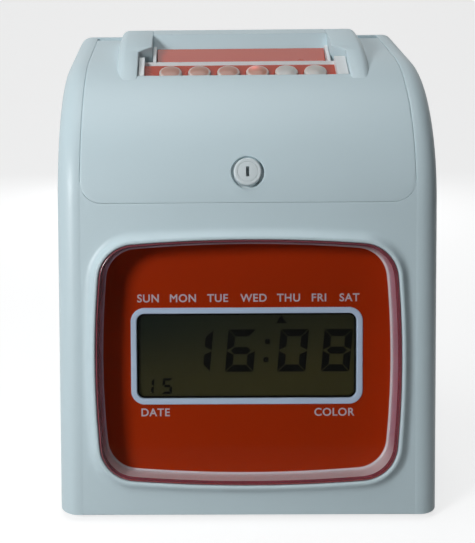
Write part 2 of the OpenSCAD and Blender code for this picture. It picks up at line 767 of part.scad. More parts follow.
module frame_outline() intersection() {
    polygon([
        [face_rise(frame_front, base_top), -frame_front], [seam_s - 17, -frame_front], [seam_s - 15, -frame_fore],
        [seam_s + 42, -frame_fore], panel_point(-panel_down), panel_point(panel_up), [slot_top_s - 3, -chute_d],
        [slot_top_s - 7.5, -chute_d - 11], [seam_s + 10, -frame_back], [face_rise(frame_back, base_top), -frame_back]]);
    union() {
        translate([-far / 4, -far]) square([seam_s + far / 4, far]);
        translate([seam_s, -lid_r]) circle(lid_r - wall - 1);
    }
}

module side_frame(x0, flange_x, motor_side) difference() {
    union() {
        on_face() along_x(x0, x0 + frame_t) frame_outline();
        translate([flange_x, face_y(face_rise(frame_front, base_top), frame_front) + 2, base_top])
            cube([12, 36, frame_t]);
    }
    face_bar(x0 - 1, x0 + frame_t + 1, rod_s, rod_d, rod_r + running);
    face_bar(x0 - 1, x0 + frame_t + 1, guide_s, guide_d, guide_r + running);
    face_bar(x0 - 1, x0 + frame_t + 1, feed_s, feed_d, shaft_r + running);
    face_bar(x0 - 1, x0 + frame_t + 1, feed_s, pinch_d, pinch_axle_r + running);
    if (motor_side) face_bar(x0 - 1, x0 + frame_t + 1, motor_s, motor_d, 3);
    translate([flange_x + 6, face_y(face_rise(frame_front, base_top), frame_front) + 26, 0]) cylinder(r = 1.8, h = far / 4);
}

module side_frame_left() color(steel_grey) side_frame(-frame_out, -frame_out, true);
module side_frame_right() color(steel_grey) side_frame(frame_x, frame_out - 12, false);

module tie_rods() color(steel_grey) for (p = tie_places) face_bar(-frame_x, frame_x, p[0], p[1], tie_r);

// Print carriage

pulley_d0 = beam_d + beam_t + 0.6;
pulley_d1 = pulley_d0 + belt_w + 1;
motor_shaft_r = 1.5;
can_r = 9;
can_len = 18;

module carriage_beam() color(steel_grey) difference() {
    face_block(-frame_x, frame_x, belt_s - 9, belt_s + 4.5, beam_d, beam_d + beam_t);
    for (side = [-1, 1]) face_post(side * pulley_x, belt_s, beam_d - 1, beam_d + 2 * beam_t, motor_shaft_r + running);
}

module carriage_rod() color("#c9ced2") face_bar(-frame_out, frame_out, rod_s, rod_d, rod_r);
module guide_rod() color("#c9ced2") face_bar(-frame_out, frame_out, guide_s, guide_d, guide_r);

carriage_half = 15;
head_half = 9;
head_h = 5.2;

module print_carriage() color("#2b2e31") difference() {
    union() {
        face_block(-carriage_half, carriage_half, rod_s - 7.5, guide_s + 4.5, guide_d - 3.5, rod_d + 5);
        face_block(-5, 5, belt_s + pulley_r + belt_t + 0.4, rod_s - 7.4, pulley_d0 + 0.5, pulley_d0 + belt_w + 0.5);
    }
    face_bar(-carriage_half - 1, carriage_half + 1, rod_s, rod_d, rod_r + running);
    face_bar(-carriage_half - 1, carriage_half + 1, guide_s, guide_d, guide_r + running);
    face_block(-head_half - 0.1, head_half + 0.1, print_s - head_h - 0.1, print_s + head_h + 0.1, 0, chute_d);
}

module print_head() color("#5a5f63") difference() {
    union() {
        face_block(-head_half, head_half, print_s - head_h, print_s + head_h, guide_d - 3.5, chute_d - 7.4);
        face_block(-3.5, 3.5, print_s - 4.5, print_s + 4.5, chute_d - 7.5, chute_d - 5.8);
        for (i = [0:3]) face_block(-head_half + i * 5, -head_half + i * 5 + 3, print_s - head_h, print_s + head_h,
            guide_d - 9, guide_d - 3.4);
    }
    face_bar(-head_half - 1, head_half + 1, guide_s, guide_d, guide_r + fit);
}

module carriage_motor() color("#8d9296") difference() {
    face_post(-pulley_x, belt_s, beam_d - can_len, beam_d, can_r);
    face_post(-pulley_x, belt_s, beam_d - 4, beam_d + 1, motor_shaft_r + running);
}

module pulley(x, shaft_from) {
    face_post(x, belt_s, pulley_d0, pulley_d1, pulley_r);
    face_post(x, belt_s, pulley_d0, pulley_d0 + 0.4, pulley_r + 1.5);
    face_post(x, belt_s, shaft_from, pulley_d1 + 1, motor_shaft_r);
}

module drive_pulley() color("#d8d8d2") pulley(-pulley_x, beam_d - 3.5);
module idler_pulley() color("#d8d8d2") pulley(pulley_x, beam_d - 0.5);

module belt_loop(r) {
    translate([-pulley_x, -r]) square([2 * pulley_x, 2 * r]);
    for (side = [-1, 1]) translate([side * pulley_x, 0]) circle(r);
}

module drive_belt() color("#26282a") on_face() translate([0, belt_s, -pulley_d0 - 0.5 - belt_w])
    linear_extrude(belt_w) difference() {
        belt_loop(pulley_r + belt_t);
        belt_loop(pulley_r + 0.1);
    }

// Ribbon and platen

ribbon_d0 = chute_d - 24.4;
ribbon_d1 = chute_d - 6.4;
knob_x = 34;
knob_r = 5;

module ribbon_cartridge() color("#33373a") difference() {
    union() {
        face_block(-frame_x, frame_x, ribbon_s, ribbon_s + ribbon_h, ribbon_d0, ribbon_d1);
        for (side = [-1, 1]) face_block(side > 0 ? print_half + 1.5 : -frame_x + 1, side > 0 ? frame_x - 1 : -print_half - 1.5,
            print_s - 6, ribbon_s + 1, chute_d - 10, chute_d - 4.3);
    }
    face_post(knob_x, ribbon_s + ribbon_h / 2, ribbon_d0 - 1, ribbon_d0 + 6, motor_shaft_r + running);
}

module ink_ribbon() color("#1b1b22")
    face_block(-print_half - 1.5, print_half + 1.5, print_s - 5, print_s + 5, chute_d - 5.1, chute_d - 4.8);

module ribbon_knob() color("#d9d4c8") difference() {
    union() {
        face_post(knob_x, ribbon_s + ribbon_h / 2, ribbon_d0 - 4, ribbon_d0 - 0.2, knob_r);
        face_post(knob_x, ribbon_s + ribbon_h / 2, ribbon_d0 - 0.3, ribbon_d0 + 5, motor_shaft_r);
    }
    face_block(knob_x - 0.8, knob_x + 0.8, ribbon_s, ribbon_s + ribbon_h, ribbon_d0 - 5, ribbon_d0 - 2.5);
}

module platen() color("#3a3d40") {
    face_block(-frame_x, frame_x, print_s - 5, print_s + 5, rear_guide_d + guide_t + 0.3, rear_guide_d + guide_t + 5);
    face_block(-print_half, print_half, print_s - 5, print_s + 5, rear_guide_d + 0.1, rear_guide_d + guide_t + 0.4);
}

// Card feed

pinch_axle_r = 1.2;
gear_w = 5;
gear_x = -frame_out - 1;

// Straight-flanked gear: tip, root and half widths from the module
function gear_points(teeth, m) =
    let (
        r_tip = m * teeth / 2 + 0.9 * m,
        r_root = m * teeth / 2 - 1.15 * m,
        step = 360 / teeth)
    [for (i = [0:teeth - 1], k = [0:3])
        let (
            q = i * step + [-0.36, -0.13, 0.13, 0.36][k] * step,
            r = k == 1 || k == 2 ? r_tip : r_root)
        [r * cos(q), r * sin(q)]];

module gear(s, d, teeth, bore, turn) on_face() translate([gear_x - gear_w, s, -d]) rotate([0, 90, 0]) rotate(turn)
    linear_extrude(gear_w) difference() {
        polygon(gear_points(teeth, gear_module));
        circle(bore);
    }

module feed_shaft() color("#c9ced2") face_bar(gear_x - gear_w - 1, frame_out + 2, feed_s, feed_d, shaft_r);

module feed_rollers() color("#2a2c2e") for (side = [-1, 1]) difference() {
    face_bar(side * feed_x - feed_w / 2, side * feed_x + feed_w / 2, feed_s, feed_d, roller_r);
    face_bar(side * feed_x - feed_w, side * feed_x + feed_w, feed_s, feed_d, shaft_r);
}

// A tooth of the gear lies on the line to the motor, between two teeth of the pinion
gear_turn = -motor_angle;
pinion_turn = 180 - motor_angle + 180 / pinion_teeth;

module feed_gear() color("#e6e2d6") gear(feed_s, feed_d, gear_teeth, shaft_r, gear_turn);
module motor_pinion() color("#b9a36a") {
    gear(motor_s, motor_d, pinion_teeth, 0.5, pinion_turn);
    face_bar(gear_x - gear_w, -frame_x + 4, motor_s, motor_d, motor_shaft_r);
}

module feed_motor() color("#8d9296") difference() {
    face_bar(-frame_x, -frame_x + 19, motor_s, motor_d, 11);
    face_bar(-frame_x - 1, -frame_x + 5, motor_s, motor_d, motor_shaft_r + running);
}

module pinch_axle() color("#c9ced2") face_bar(-frame_out, frame_out, feed_s, pinch_d, pinch_axle_r);
module pinch_rollers() color("#2a2c2e") for (side = [-1, 1]) difference() {
    face_bar(side * feed_x - feed_w / 2, side * feed_x + feed_w / 2, feed_s, pinch_d, pinch_r);
    face_bar(side * feed_x - feed_w, side * feed_x + feed_w, feed_s, pinch_d, pinch_axle_r);
}

module card_stop() color(steel_grey)
    face_block(-cheek_in + 4, cheek_in - 4, chute_low, chute_low + 3, front_guide_d + guide_t, rear_guide_d);

module card_sensor() color("#1d1f21") face_block(-8, 8, chute_low + 20, chute_low + 29, front_guide_d - 6, front_guide_d);

// Electronics

main_board_t = 1.6;

module main_board() color(board_green) difference() {
    union() {
        translate([-board_half, board_y - main_board_t, board_z0]) cube([2 * board_half, main_board_t, board_z1 - board_z0]);
        for (chip = [[-30, 100, 24, 14], [14, 96, 18, 18], [-8, 128, 34, 7], [24, 130, 16, 8]])
            translate([chip[0], board_y - main_board_t - 3, chip[1]]) cube([chip[2], 3, chip[3]]);
        for (x = [-44, -32, 42]) translate([x, board_y - main_board_t, board_z0 + 16]) rotate([90, 0, 0])
            cylinder(r = 5, h = 12);
    }
    for (x = [-1, 1], z = board_hole_z) translate([x * board_hole_x, board_y + 1, z]) rotate([90, 0, 0])
        cylinder(r = screw_r + fit, h = 4);
}

transformer_w = 46;
battery_len = 44;

module transformer() color("#4a4d50") translate([frame_x - 1.6 - transformer_w, back_y - 58, base_top]) {
    cube([transformer_w, 36, 6]);
    translate([2, 9, 5]) cube([42, 18, 34]);
    translate([8, 2, 10]) cube([30, 32, 24]);
}

module backup_battery() color("#3f6fae") for (i = [0:2])
    translate([1.6 - frame_x, back_y - 52 + i * 15, base_top + 7.5]) rotate([0, 90, 0]) cylinder(r = 7.5, h = battery_len);

module buzzer() color("#1d1f21") translate([46, board_y - main_board_t, 112]) rotate([90, 0, 0]) difference() {
    cylinder(r = 6, h = 7);
    translate([0, 0, 5]) cylinder(r = 1, h = 3);
}

module power_inlet() color("#1d1f21") difference() {
    union() {
        translate([inlet_x - inlet_w / 2, back_y - 14, inlet_z - inlet_w / 2]) cube([inlet_w, 14, inlet_w]);
        translate([inlet_x - inlet_w / 2 - 2, back_y - wall - 2, inlet_z - inlet_w / 2 - 2]) cube([inlet_w + 4, 2, inlet_w + 4]);
    }
    translate([inlet_x, back_y + 1, inlet_z]) rotate([90, 0, 0]) difference() {
        cylinder(r = 4.2, h = 11);
        cylinder(r = 1, h = 11);
    }
}

// Fasteners

module screw(shank, head_r, head_h) {
    cylinder(r = screw_r, h = shank);
    translate([0, 0, -head_h]) cylinder(r = head_r, h = head_h);
}

module case_screws() color(steel_grey) for (side = [-1, 1]) {
    for (y = base_boss_y) translate([side * boss_x, y, foot_h + 1.6]) screw(9, 2.9, 1.2);
    for (z = rear_boss_z) translate([side * boss_x, back_y - 3, z]) rotate([90, 0, 0]) screw(12, 2.9, 1.6);
}

module board_screws() color(steel_grey) for (side = [-1, 1]) {
    for (z = board_hole_z) translate([side * board_hole_x, board_y - main_board_t, z]) rotate([-90, 0, 0]) screw(7, 2.9, 1.6);
    on_face() translate([side * ear_x, win_s, -plate_back]) screw(8, 2.9, 1.6);
}

main_housing();
rear_cover();
base_plate();
rubber_feet();
hinge_pins();
top_cover();
window_lens();
face_plate();
display_bezel();
lcd_glass();
display_board();
lock_body();
lock_nut();
lock_plug();
lock_cam();
key_panel();
key_board();
column_lamps();
button_1();
button_2();
button_3();
button_4();
button_5();
button_6();
card_guide_front();
card_guide_rear();
side_frame_left();
side_frame_right();
tie_rods();
carriage_beam();
carriage_rod();
guide_rod();
print_carriage();
print_head();
carriage_motor();
drive_pulley();
idler_pulley();
drive_belt();
ribbon_cartridge();
ink_ribbon();
ribbon_knob();
platen();
feed_shaft();
feed_rollers();
feed_gear();
feed_motor();
motor_pinion();
pinch_axle();
pinch_rollers();
card_stop();
card_sensor();
main_board();
transformer();
backup_battery();
buzzer();
power_inlet();
case_screws();
board_screws();
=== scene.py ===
# Looks of a desktop time clock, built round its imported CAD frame, in metres and in the same axes.
import json
import math

import bmesh
import bpy
import numpy as np
from mathutils import Matrix


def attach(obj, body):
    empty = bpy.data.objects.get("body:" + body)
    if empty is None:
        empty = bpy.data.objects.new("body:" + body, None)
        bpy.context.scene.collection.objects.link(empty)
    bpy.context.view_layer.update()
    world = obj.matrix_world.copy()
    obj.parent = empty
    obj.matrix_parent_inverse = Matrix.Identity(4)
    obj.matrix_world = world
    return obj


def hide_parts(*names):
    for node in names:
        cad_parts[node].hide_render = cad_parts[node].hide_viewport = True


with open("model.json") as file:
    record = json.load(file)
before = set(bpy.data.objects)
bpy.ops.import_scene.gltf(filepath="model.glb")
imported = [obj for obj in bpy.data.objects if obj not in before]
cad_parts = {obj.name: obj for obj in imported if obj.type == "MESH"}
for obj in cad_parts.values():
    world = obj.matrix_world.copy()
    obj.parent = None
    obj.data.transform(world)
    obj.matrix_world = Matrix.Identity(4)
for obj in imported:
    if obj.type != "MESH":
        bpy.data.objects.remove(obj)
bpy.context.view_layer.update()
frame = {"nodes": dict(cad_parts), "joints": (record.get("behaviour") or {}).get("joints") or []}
node = frame["nodes"]

# Camera, lamps and floor
# The clock stands on a plain pale sweep, seen from close by, a little above and left of its middle.
# A small lamp stands at the left, a large soft one hangs above, a weak one fills in from the right,
# and one behind lights the rear without being seen by the camera or in a gloss.
SENSOR, FOCAL_PX, PHOTO_PX = 36.0, 922.0, 543.0
VIEW_PLACE, VIEW_SHIFT, CLIP_NEAR = (-0.0249, -0.4528, 0.2231), 0.1035, 0.02
VIEW_YAW, VIEW_PITCH, VIEW_ROLL = math.radians(-0.75), math.radians(15.44), math.radians(-0.55)
WORLD_TONE, WORLD_DIM, WORLD_SEEN = (0.86, 0.90, 0.93, 1.0), 0.02, 0.35
FLOOR_NEAR, FLOOR_FAR, FLOOR_HALF, SWEEP_R, SWEEP_TOP = -2.5, 0.8, 3.0, 0.7, 3.0
PAPER_TONE, PAPER_ROUGH, PAPER_GLOW = (0.34, 0.34, 0.34, 1.0), 0.9, 0.76
SMOOTH_UP_TO = math.radians(35.0)

scene = bpy.context.scene
scene.view_settings.view_transform = "Standard"


def show(name, data):
    """A new object of the scene."""
    made = bpy.data.objects.new(name, data)
    scene.collection.objects.link(made)
    return made


def aim(obj, place, look, roll=0.0):
    """Sets an object at a place with its -Z along look: right is look crossed with up, then turned by roll."""
    look = np.array(look, float) / np.linalg.norm(look)
    right = np.cross(look, (0.0, 0.0, 1.0))
    right /= np.linalg.norm(right)
    up = np.cross(right, look)
    across = right * math.cos(roll) + up * math.sin(roll)
    over = up * math.cos(roll) - right * math.sin(roll)
    turn = Matrix(np.column_stack([across, over, -look]).tolist()).to_4x4()
    obj.matrix_world = Matrix.Translation(place) @ turn


def add_lamp(name, place, target, width, watts, colour):
    """A square soft lamp at a place, pointed at a target."""
    data = bpy.data.lights.new(name, "AREA")
    data.size = width
    data.energy = watts
    data.color = colour
    lamp = show(name, data)
    aim(lamp, place, np.subtract(target, place))
    return lamp


camera = show("camera", bpy.data.cameras.new("camera"))
camera.data.sensor_width = SENSOR
camera.data.lens = SENSOR * FOCAL_PX / PHOTO_PX
camera.data.shift_x = VIEW_SHIFT
camera.data.clip_start = CLIP_NEAR
ahead = math.cos(VIEW_PITCH)
view_look = (math.sin(VIEW_YAW) * ahead, math.cos(VIEW_YAW) * ahead, -math.sin(VIEW_PITCH))
aim(camera, VIEW_PLACE, view_look, VIEW_ROLL)
scene.camera = camera

add_lamp("key_lamp", (-0.44, -0.48, 0.37), (0.0, -0.03, 0.11), 0.16, 2.8, (0.97, 0.99, 1.0))
add_lamp("top_lamp", (-0.15, 0.0, 1.3), (0.0, 0.0, 0.1), 0.9, 5.6, (0.96, 0.99, 1.0))
add_lamp("fill_lamp", (0.8, -0.35, 0.45), (0.0, 0.0, 0.1), 0.6, 0.02, (0.95, 0.98, 1.0))
rear_lamp = add_lamp("rear_lamp", (0.0, 0.8, 0.3), (0.0, 0.07, 0.11), 0.25, 2.0, (0.97, 0.99, 1.0))
rear_lamp.visible_camera = False
rear_lamp.visible_glossy = False


def set_node(tree, made, fixed=None, joined=None):
    """Sets fixed sockets of a shader node and joins other nodes' sockets to it."""
    for key, value in (fixed or {}).items():
        made.inputs[key].default_value = value
    for key, source in (joined or {}).items():
        tree.links.new(source, made.inputs[key])
    return made


def step_node(tree, kind, fixed=None, joined=None, **settings):
    """Adds a shader node with its options, fixed sockets and joined sockets."""
    made = tree.nodes.new(kind)
    for key, value in settings.items():
        setattr(made, key, value)
    return set_node(tree, made, fixed, joined)


def math_node(tree, operation, fixed=None, joined=None, **settings):
    """Output of a shader math node."""
    return step_node(tree, "ShaderNodeMath", fixed, joined, operation=operation, **settings).outputs[0]


def seen_ray(tree):
    """One for rays from the camera, a clear piece or a gloss: the largest of the three path flags."""
    path = step_node(tree, "ShaderNodeLightPath").outputs
    clear = math_node(tree, "MAXIMUM", None, {0: path["Is Camera Ray"], 1: path["Is Transmission Ray"]})
    return math_node(tree, "MAXIMUM", None, {0: clear, 1: path["Is Glossy Ray"]})


def blank_finish(name):
    """A new material with its node tree and its Principled node."""
    made = bpy.data.materials.new(name)
    made.use_nodes = True
    return made, made.node_tree, made.node_tree.nodes["Principled BSDF"]


world = bpy.data.worlds.new("studio")
scene.world = world
world.use_nodes = True
world_share = step_node(world.node_tree, "ShaderNodeMapRange", {"To Min": WORLD_DIM, "To Max": WORLD_SEEN},
                        {"Value": seen_ray(world.node_tree)})
set_node(world.node_tree, world.node_tree.nodes["Background"], {"Color": WORLD_TONE},
         {"Strength": world_share.outputs[0]})


def grid_quads(order):
    """Corner numbers of the quads of a grid of point numbers."""
    return np.stack([order[:-1, :-1], order[1:, :-1], order[1:, 1:], order[:-1, 1:]], -1).reshape(-1, 4)


def quarter(count, start=0.0, end=90.0):
    """Evenly spaced angles of a bend in radians, from its limits in degrees."""
    return np.radians(np.linspace(start, end, count))


def smooth(mesh):
    """Smooth shading, with sharp edges above the limit."""
    mesh.polygons.foreach_set("use_smooth", np.ones(len(mesh.polygons), bool))
    mesh.set_sharp_from_angle(angle=SMOOTH_UP_TO)


def sweep_sheet():
    """Floor that turns up into a wall by a quarter round: a line of depths and heights carried across X."""
    bend = quarter(16)
    wall = FLOOR_FAR + SWEEP_R
    depth = np.concatenate([[FLOOR_NEAR, FLOOR_FAR], FLOOR_FAR + SWEEP_R * np.sin(bend), [wall]])
    height = np.concatenate([[0.0, 0.0], SWEEP_R * (1.0 - np.cos(bend)), [SWEEP_TOP]])
    across = np.array([-FLOOR_HALF, FLOOR_HALF])
    grid = np.stack(np.broadcast_arrays(across, depth[:, None], height[:, None]), -1)
    return grid.reshape(-1, 3), grid_quads(np.arange(2 * len(depth)).reshape(-1, 2))[:, ::-1]


sweep_points, sweep_quads = sweep_sheet()
sweep_mesh = bpy.data.meshes.new("floor_sweep")
sweep_mesh.from_pydata(sweep_points.tolist(), [], sweep_quads.tolist())
smooth(sweep_mesh)
floor = show("floor_sweep", sweep_mesh)

paper, paper_tree, paper_base = blank_finish("floor_paper")
paper_light = math_node(paper_tree, "MULTIPLY", {1: PAPER_GLOW}, {0: seen_ray(paper_tree)})
set_node(paper_tree, paper_base, {"Base Color": PAPER_TONE, "Roughness": PAPER_ROUGH, "Emission Color": (1, 1, 1, 1)},
         {"Emission Strength": paper_light})
sweep_mesh.materials.append(paper)

# Main housing
# Front frame and two side walls of one moulded shell in grey-white ABS with a fine grain.
# A flared rim stands round the window, and a skirt behind it carries the orange plate.
MM = 0.001
SEAM, BEND_R, HALF_W, EDGE_R, WALL = 142.5, 80.0, 87.0, 9.0, 2.8
FRONT_Y, REAR_Y, FOOT_H = -75.0, 67.0, 3.0
LEAN, RISE = math.radians(12.7), math.radians(11.0)
BEND_ARC = BEND_R * (math.pi / 2 - LEAN - RISE)
TOP_T = SEAM + BEND_ARC
LID_HALF, LID_CORNER = 75.9, 10.0
BEND_Y = FRONT_Y + SEAM * math.sin(LEAN) + BEND_R * math.cos(LEAN)
BEND_Z = FOOT_H + SEAM * math.cos(LEAN) - BEND_R * math.sin(LEAN)
CREST_Y = BEND_Y - BEND_R * math.sin(RISE)
CREST_Z = BEND_Z + BEND_R * math.cos(RISE)
WIN_W, WIN_H, WIN_S, WIN_BULGE, WIN_CORNER = 138.8, 111.9, 70.0, 3.5, 16.5
RIM_OUT, SKIRT_END, SKIRT_T, SEAM_LIP = 6.2, -13.2, 2.2, 0.45
SIDE_SHARES = np.linspace(0.0, 1.0, 73)[:-1]
MERGE, SLIVER = 2e-6, 1e-6


def leaning(tilt):
    """Axes of a face that leans back: across, up the face, and out of it at a tilt above straight forwards."""
    return np.array([(1.0, 0.0, 0.0), (0.0, math.sin(tilt), math.cos(tilt)), (0.0, -math.cos(tilt), math.sin(tilt))])


FACE_UP, FACE_OUT = leaning(LEAN)[1:]


def on_skin(x, t, d):
    """A place on the case in millimetres: x across, t up the front, round the bend and back along the top,
    d straight in. The bend's normal turns evenly with t, and before or after the bend the place runs on
    along the tangent."""
    x, t, d = np.broadcast_arrays(np.asarray(x, float), np.asarray(t, float), np.asarray(d, float))
    turn = LEAN + np.clip(t - SEAM, 0.0, BEND_ARC) / BEND_R
    run = np.minimum(t - SEAM, 0.0) + np.maximum(t - SEAM - BEND_ARC, 0.0)
    y = BEND_Y - np.cos(turn) * (BEND_R - d) + np.sin(turn) * run
    z = BEND_Z + np.sin(turn) * (BEND_R - d) + np.cos(turn) * run
    return np.stack([x, y, z], -1)


def laid(flat, d):
    """Flat points of x and t laid on the case at a depth."""
    return on_skin(flat[..., 0], flat[..., 1], d)


def add_piece(name, points, faces, finish):
    """A mesh object from points in millimetres and faces: doubles merged, faces turned outwards, smooth."""
    mesh = bpy.data.meshes.new(name)
    mesh.from_pydata((np.asarray(points).reshape(-1, 3) * MM).tolist(), [], [list(face) for face in faces])
    work = bmesh.new()
    work.from_mesh(mesh)
    bmesh.ops.remove_doubles(work, verts=work.verts, dist=MERGE)
    bmesh.ops.dissolve_degenerate(work, edges=work.edges, dist=SLIVER)
    bmesh.ops.recalc_face_normals(work, faces=work.faces)
    work.to_mesh(mesh)
    work.free()
    smooth(mesh)
    mesh.materials.append(finish)
    return show(name, mesh)


def spots_of(piece):
    """Vertices of a piece in millimetres, one row each."""
    flat = np.empty(len(piece.data.vertices) * 3)
    piece.data.vertices.foreach_get("co", flat)
    return flat.reshape(-1, 3) / MM


def mark(piece, name, values):
    """Keeps one value per vertex as a named attribute, for the piece's material to read."""
    piece.data.attributes.new(name, "FLOAT", "POINT").data.foreach_set("value", values)


def wrapped(points, tube=True):
    """A grid of points and its quads: the last row meets the first, and in a tube the last column too."""
    order = np.arange(points.shape[0] * points.shape[1]).reshape(points.shape[:2])
    if tube:
        order = np.hstack([order, order[:, :1]])
    return points, grid_quads(np.vstack([order, order[:1]]))


def shell(outer, inner, around=False):
    """Points and quads of a wall: an outer and an inner grid of one size, joined along their edges.
    With around, the first row follows the last, so only the two side edges are joined."""
    rows, cols = outer.shape[:2]
    top = np.arange(rows * cols).reshape(rows, cols)
    if around:
        top = np.vstack([top, top[:1]])
    low = top + rows * cols
    quads = [grid_quads(top), grid_quads(low)]
    quads += [grid_quads(np.stack([top[:, k], low[:, k]], 1)) for k in (0, -1)]
    if not around:
        quads += [grid_quads(np.stack([top[k], low[k]], 1)) for k in (0, -1)]
    return np.concatenate([outer.reshape(-1, 3), inner.reshape(-1, 3)]), np.concatenate(quads)


def resample(line, shares):
    """Points along an open line of points at shares of its length."""
    run = np.concatenate([[0.0], np.cumsum(np.hypot(*np.diff(line, axis=0).T))])
    return np.stack([np.interp(shares * run[-1], run, line[:, k]) for k in (0, 1)], -1)


def four_sides(sides):
    """One closed outline from four open lines, each at the same shares of its length."""
    return np.concatenate([resample(side, SIDE_SHARES) for side in sides])


def arc_line(cx, cy, r, bend):
    """Points of an arc: its middle plus the radius times cosine and sine."""
    return np.stack([cx + r * np.cos(bend), cy + r * np.sin(bend)], -1)


def window_line(grow):
    """Closed outline of the window, grown outwards: four shallow arcs joined by corner arcs that touch them.
    It starts at the middle of the lower left corner and runs right, up, left and down, one share list a side.
    A corner's middle lies at the crossing of the arcs' circles drawn in by the corner's radius."""
    w, h, r = WIN_W + 2 * grow, WIN_H + 2 * grow, WIN_CORNER + grow
    top_r = (w * w / 4 + WIN_BULGE ** 2) / (2 * WIN_BULGE)
    side_r = (h * h / 4 + WIN_BULGE ** 2) / (2 * WIN_BULGE)
    top_c, side_c = h / 2 - top_r, w / 2 - side_r
    gap = math.hypot(top_c, side_c)
    along = ((top_r - r) ** 2 - (side_r - r) ** 2 + gap * gap) / (2 * gap)
    off = math.sqrt((top_r - r) ** 2 - along ** 2)
    ux, uy = side_c / gap, -top_c / gap
    spots = [(ux * along - k * uy * off, top_c + uy * along + k * ux * off) for k in (1, -1)]
    cx, cy = max(spots, key=lambda spot: min(spot))
    a0, a1 = math.atan2(cy, cx - side_c), math.atan2(cy - top_c, cx)
    fine = np.linspace(0.0, 1.0, 60)
    half_side = arc_line(side_c, 0.0, side_r, a0 * fine)
    upper = arc_line(cx, cy, r, (a0 + a1) / 2 + (a1 - a0) / 2 * fine)
    lower = arc_line(cx, cy, r, a0 + (a1 - a0) / 2 * fine)
    half_top = arc_line(0.0, top_c, top_r, a1 + (math.pi / 2 - a1) * fine)
    right = np.concatenate([half_side[1:], lower[1:]])
    right = np.concatenate([right[::-1] * (1, -1), half_side[:1], right])
    over = np.concatenate([upper, half_top[1:]])
    over = np.concatenate([over, over[-2::-1] * (-1, 1)])
    return four_sides([over[::-1] * (1, -1), right, over, right[::-1] * (-1, 1)]) + (0.0, WIN_S)


def front_edge(foot):
    """Outer border of the front frame in the same four runs: foot, right side, lid seam with its corner arcs,
    left side."""
    arc = arc_line(LID_HALF - LID_CORNER, -SEAM - LID_CORNER, LID_CORNER, quarter(24)) * (1, -1)
    seam = np.concatenate([arc, arc[::-1] * (-1, 1)])
    right = np.array([[LID_HALF, foot], [LID_HALF, SEAM + LID_CORNER]])
    low = np.array([[-LID_HALF, foot], [LID_HALF, foot]])
    return four_sides([low, right, seam, right[::-1] * (-1, 1)])


def front_frame():
    """Wall carried round the window: skirt, crest and flare follow the grown outline as steps of outward
    distance and height, then the face runs out to its border."""
    rim = [(0.0, SKIRT_END), (0.0, -6.0), (0.0, 1.6), (0.05, 2.3), (0.22, 2.72), (0.5, 2.93), (0.85, 3.0),
           (1.25, 2.97), (1.6, 2.82), (2.0, 2.45), (2.5, 1.85), (3.1, 1.2), (3.8, 0.65), (4.6, 0.24),
           (5.4, 0.05), (RIM_OUT, 0.0)]
    under = [(SKIRT_T, h) for h in (SKIRT_END, -9.0, -6.0, -4.0, -3.2)] + [(2.3, -2.95)]
    under += [(o, -WALL) for o in (2.6, 3.0, 3.4, 3.8, 4.2, 4.6, 5.0, 5.4, 5.8, RIM_OUT)]
    shares = np.array([0.15, 0.35, 0.6, 0.8, 0.93, 0.985, 1.0])
    edge_drop = np.array([0, 0, 0, 0, 0, 0.03, 0.16])
    last = window_line(RIM_OUT)
    free = np.repeat([1.0, 0.0, 1.0, 0.0], len(SIDE_SHARES))
    grids = []
    for steps, foot, drop, level in ((rim, 0.0, edge_drop, 0.0),
                                     (under, WALL * math.tan(LEAN), 0 * edge_drop, -WALL)):
        edge = front_edge(foot)
        flat = [window_line(o) for o, h in steps] + [last + (edge - last) * k for k in shares]
        height = [np.full(len(last), h) for o, h in steps] + [level - k * free for k in drop]
        flat, height = np.stack(flat, 1), np.stack(height, 1)
        grids.append(laid(flat, -height))
    return shell(*grids, around=True)


def side_wall(side):
    """Rounded edge and side carried up the front, round the bend and back: a soft lip at the lid's seam,
    a flat, a quarter round, then straight lines from the round's foot to the rear rim. The foot and the rear
    end are cut level and upright."""
    end = TOP_T + (REAR_Y - CREST_Y) / math.cos(RISE)
    corner = SEAM + LID_CORNER
    t = np.concatenate([np.linspace(0.0, SEAM, 40), SEAM + LID_CORNER * np.array([0.04, 0.3, 0.6, 0.99, 1.01]),
                        np.linspace(corner + 2, TOP_T, 40), np.linspace(TOP_T + 2, end, 14)])
    soft = np.where(t > corner, 1.0, 0.02)[:, None]
    round_x = HALF_W - EDGE_R
    bend = quarter(17, 90.0, 0.0)
    every = np.ones((len(t), 1))
    grids = []
    for inset, lip in ((0.0, SEAM_LIP), (WALL, 0.0)):
        r = EDGE_R - inset
        x = np.hstack([LID_HALF + soft * lip * np.array([0.0, 0.0, 0.3, 1.0]),
                       every * np.append(round_x - 0.6, round_x + r * np.cos(bend))])
        d = np.hstack([inset + soft * lip * np.array([1.0, 0.7, 0.2, 0.0]),
                       every * np.append(inset, EDGE_R - r * np.sin(bend))])
        foot = d * math.tan(LEAN) * np.clip(1.0 - t / SEAM, 0.0, 1.0)[:, None]
        back = np.clip((t - TOP_T) / (end - TOP_T), 0.0, 1.0)[:, None]
        round_part = on_skin(x, t[:, None] + foot - back * d * math.tan(RISE), d)
        heel = round_part[:, -1]
        rear_z = heel[0, 2] + (heel[-1, 2] - heel[0, 2]) * t / end
        rear = np.stack([heel[:, 0], np.full(len(t), REAR_Y), rear_z], -1)
        flat = heel[:, None] + (rear - heel)[:, None] * np.linspace(0.0, 1.0, 9)[1:, None]
        grids.append(np.concatenate([round_part, flat], 1) * (side, 1, 1))
    return shell(*grids)


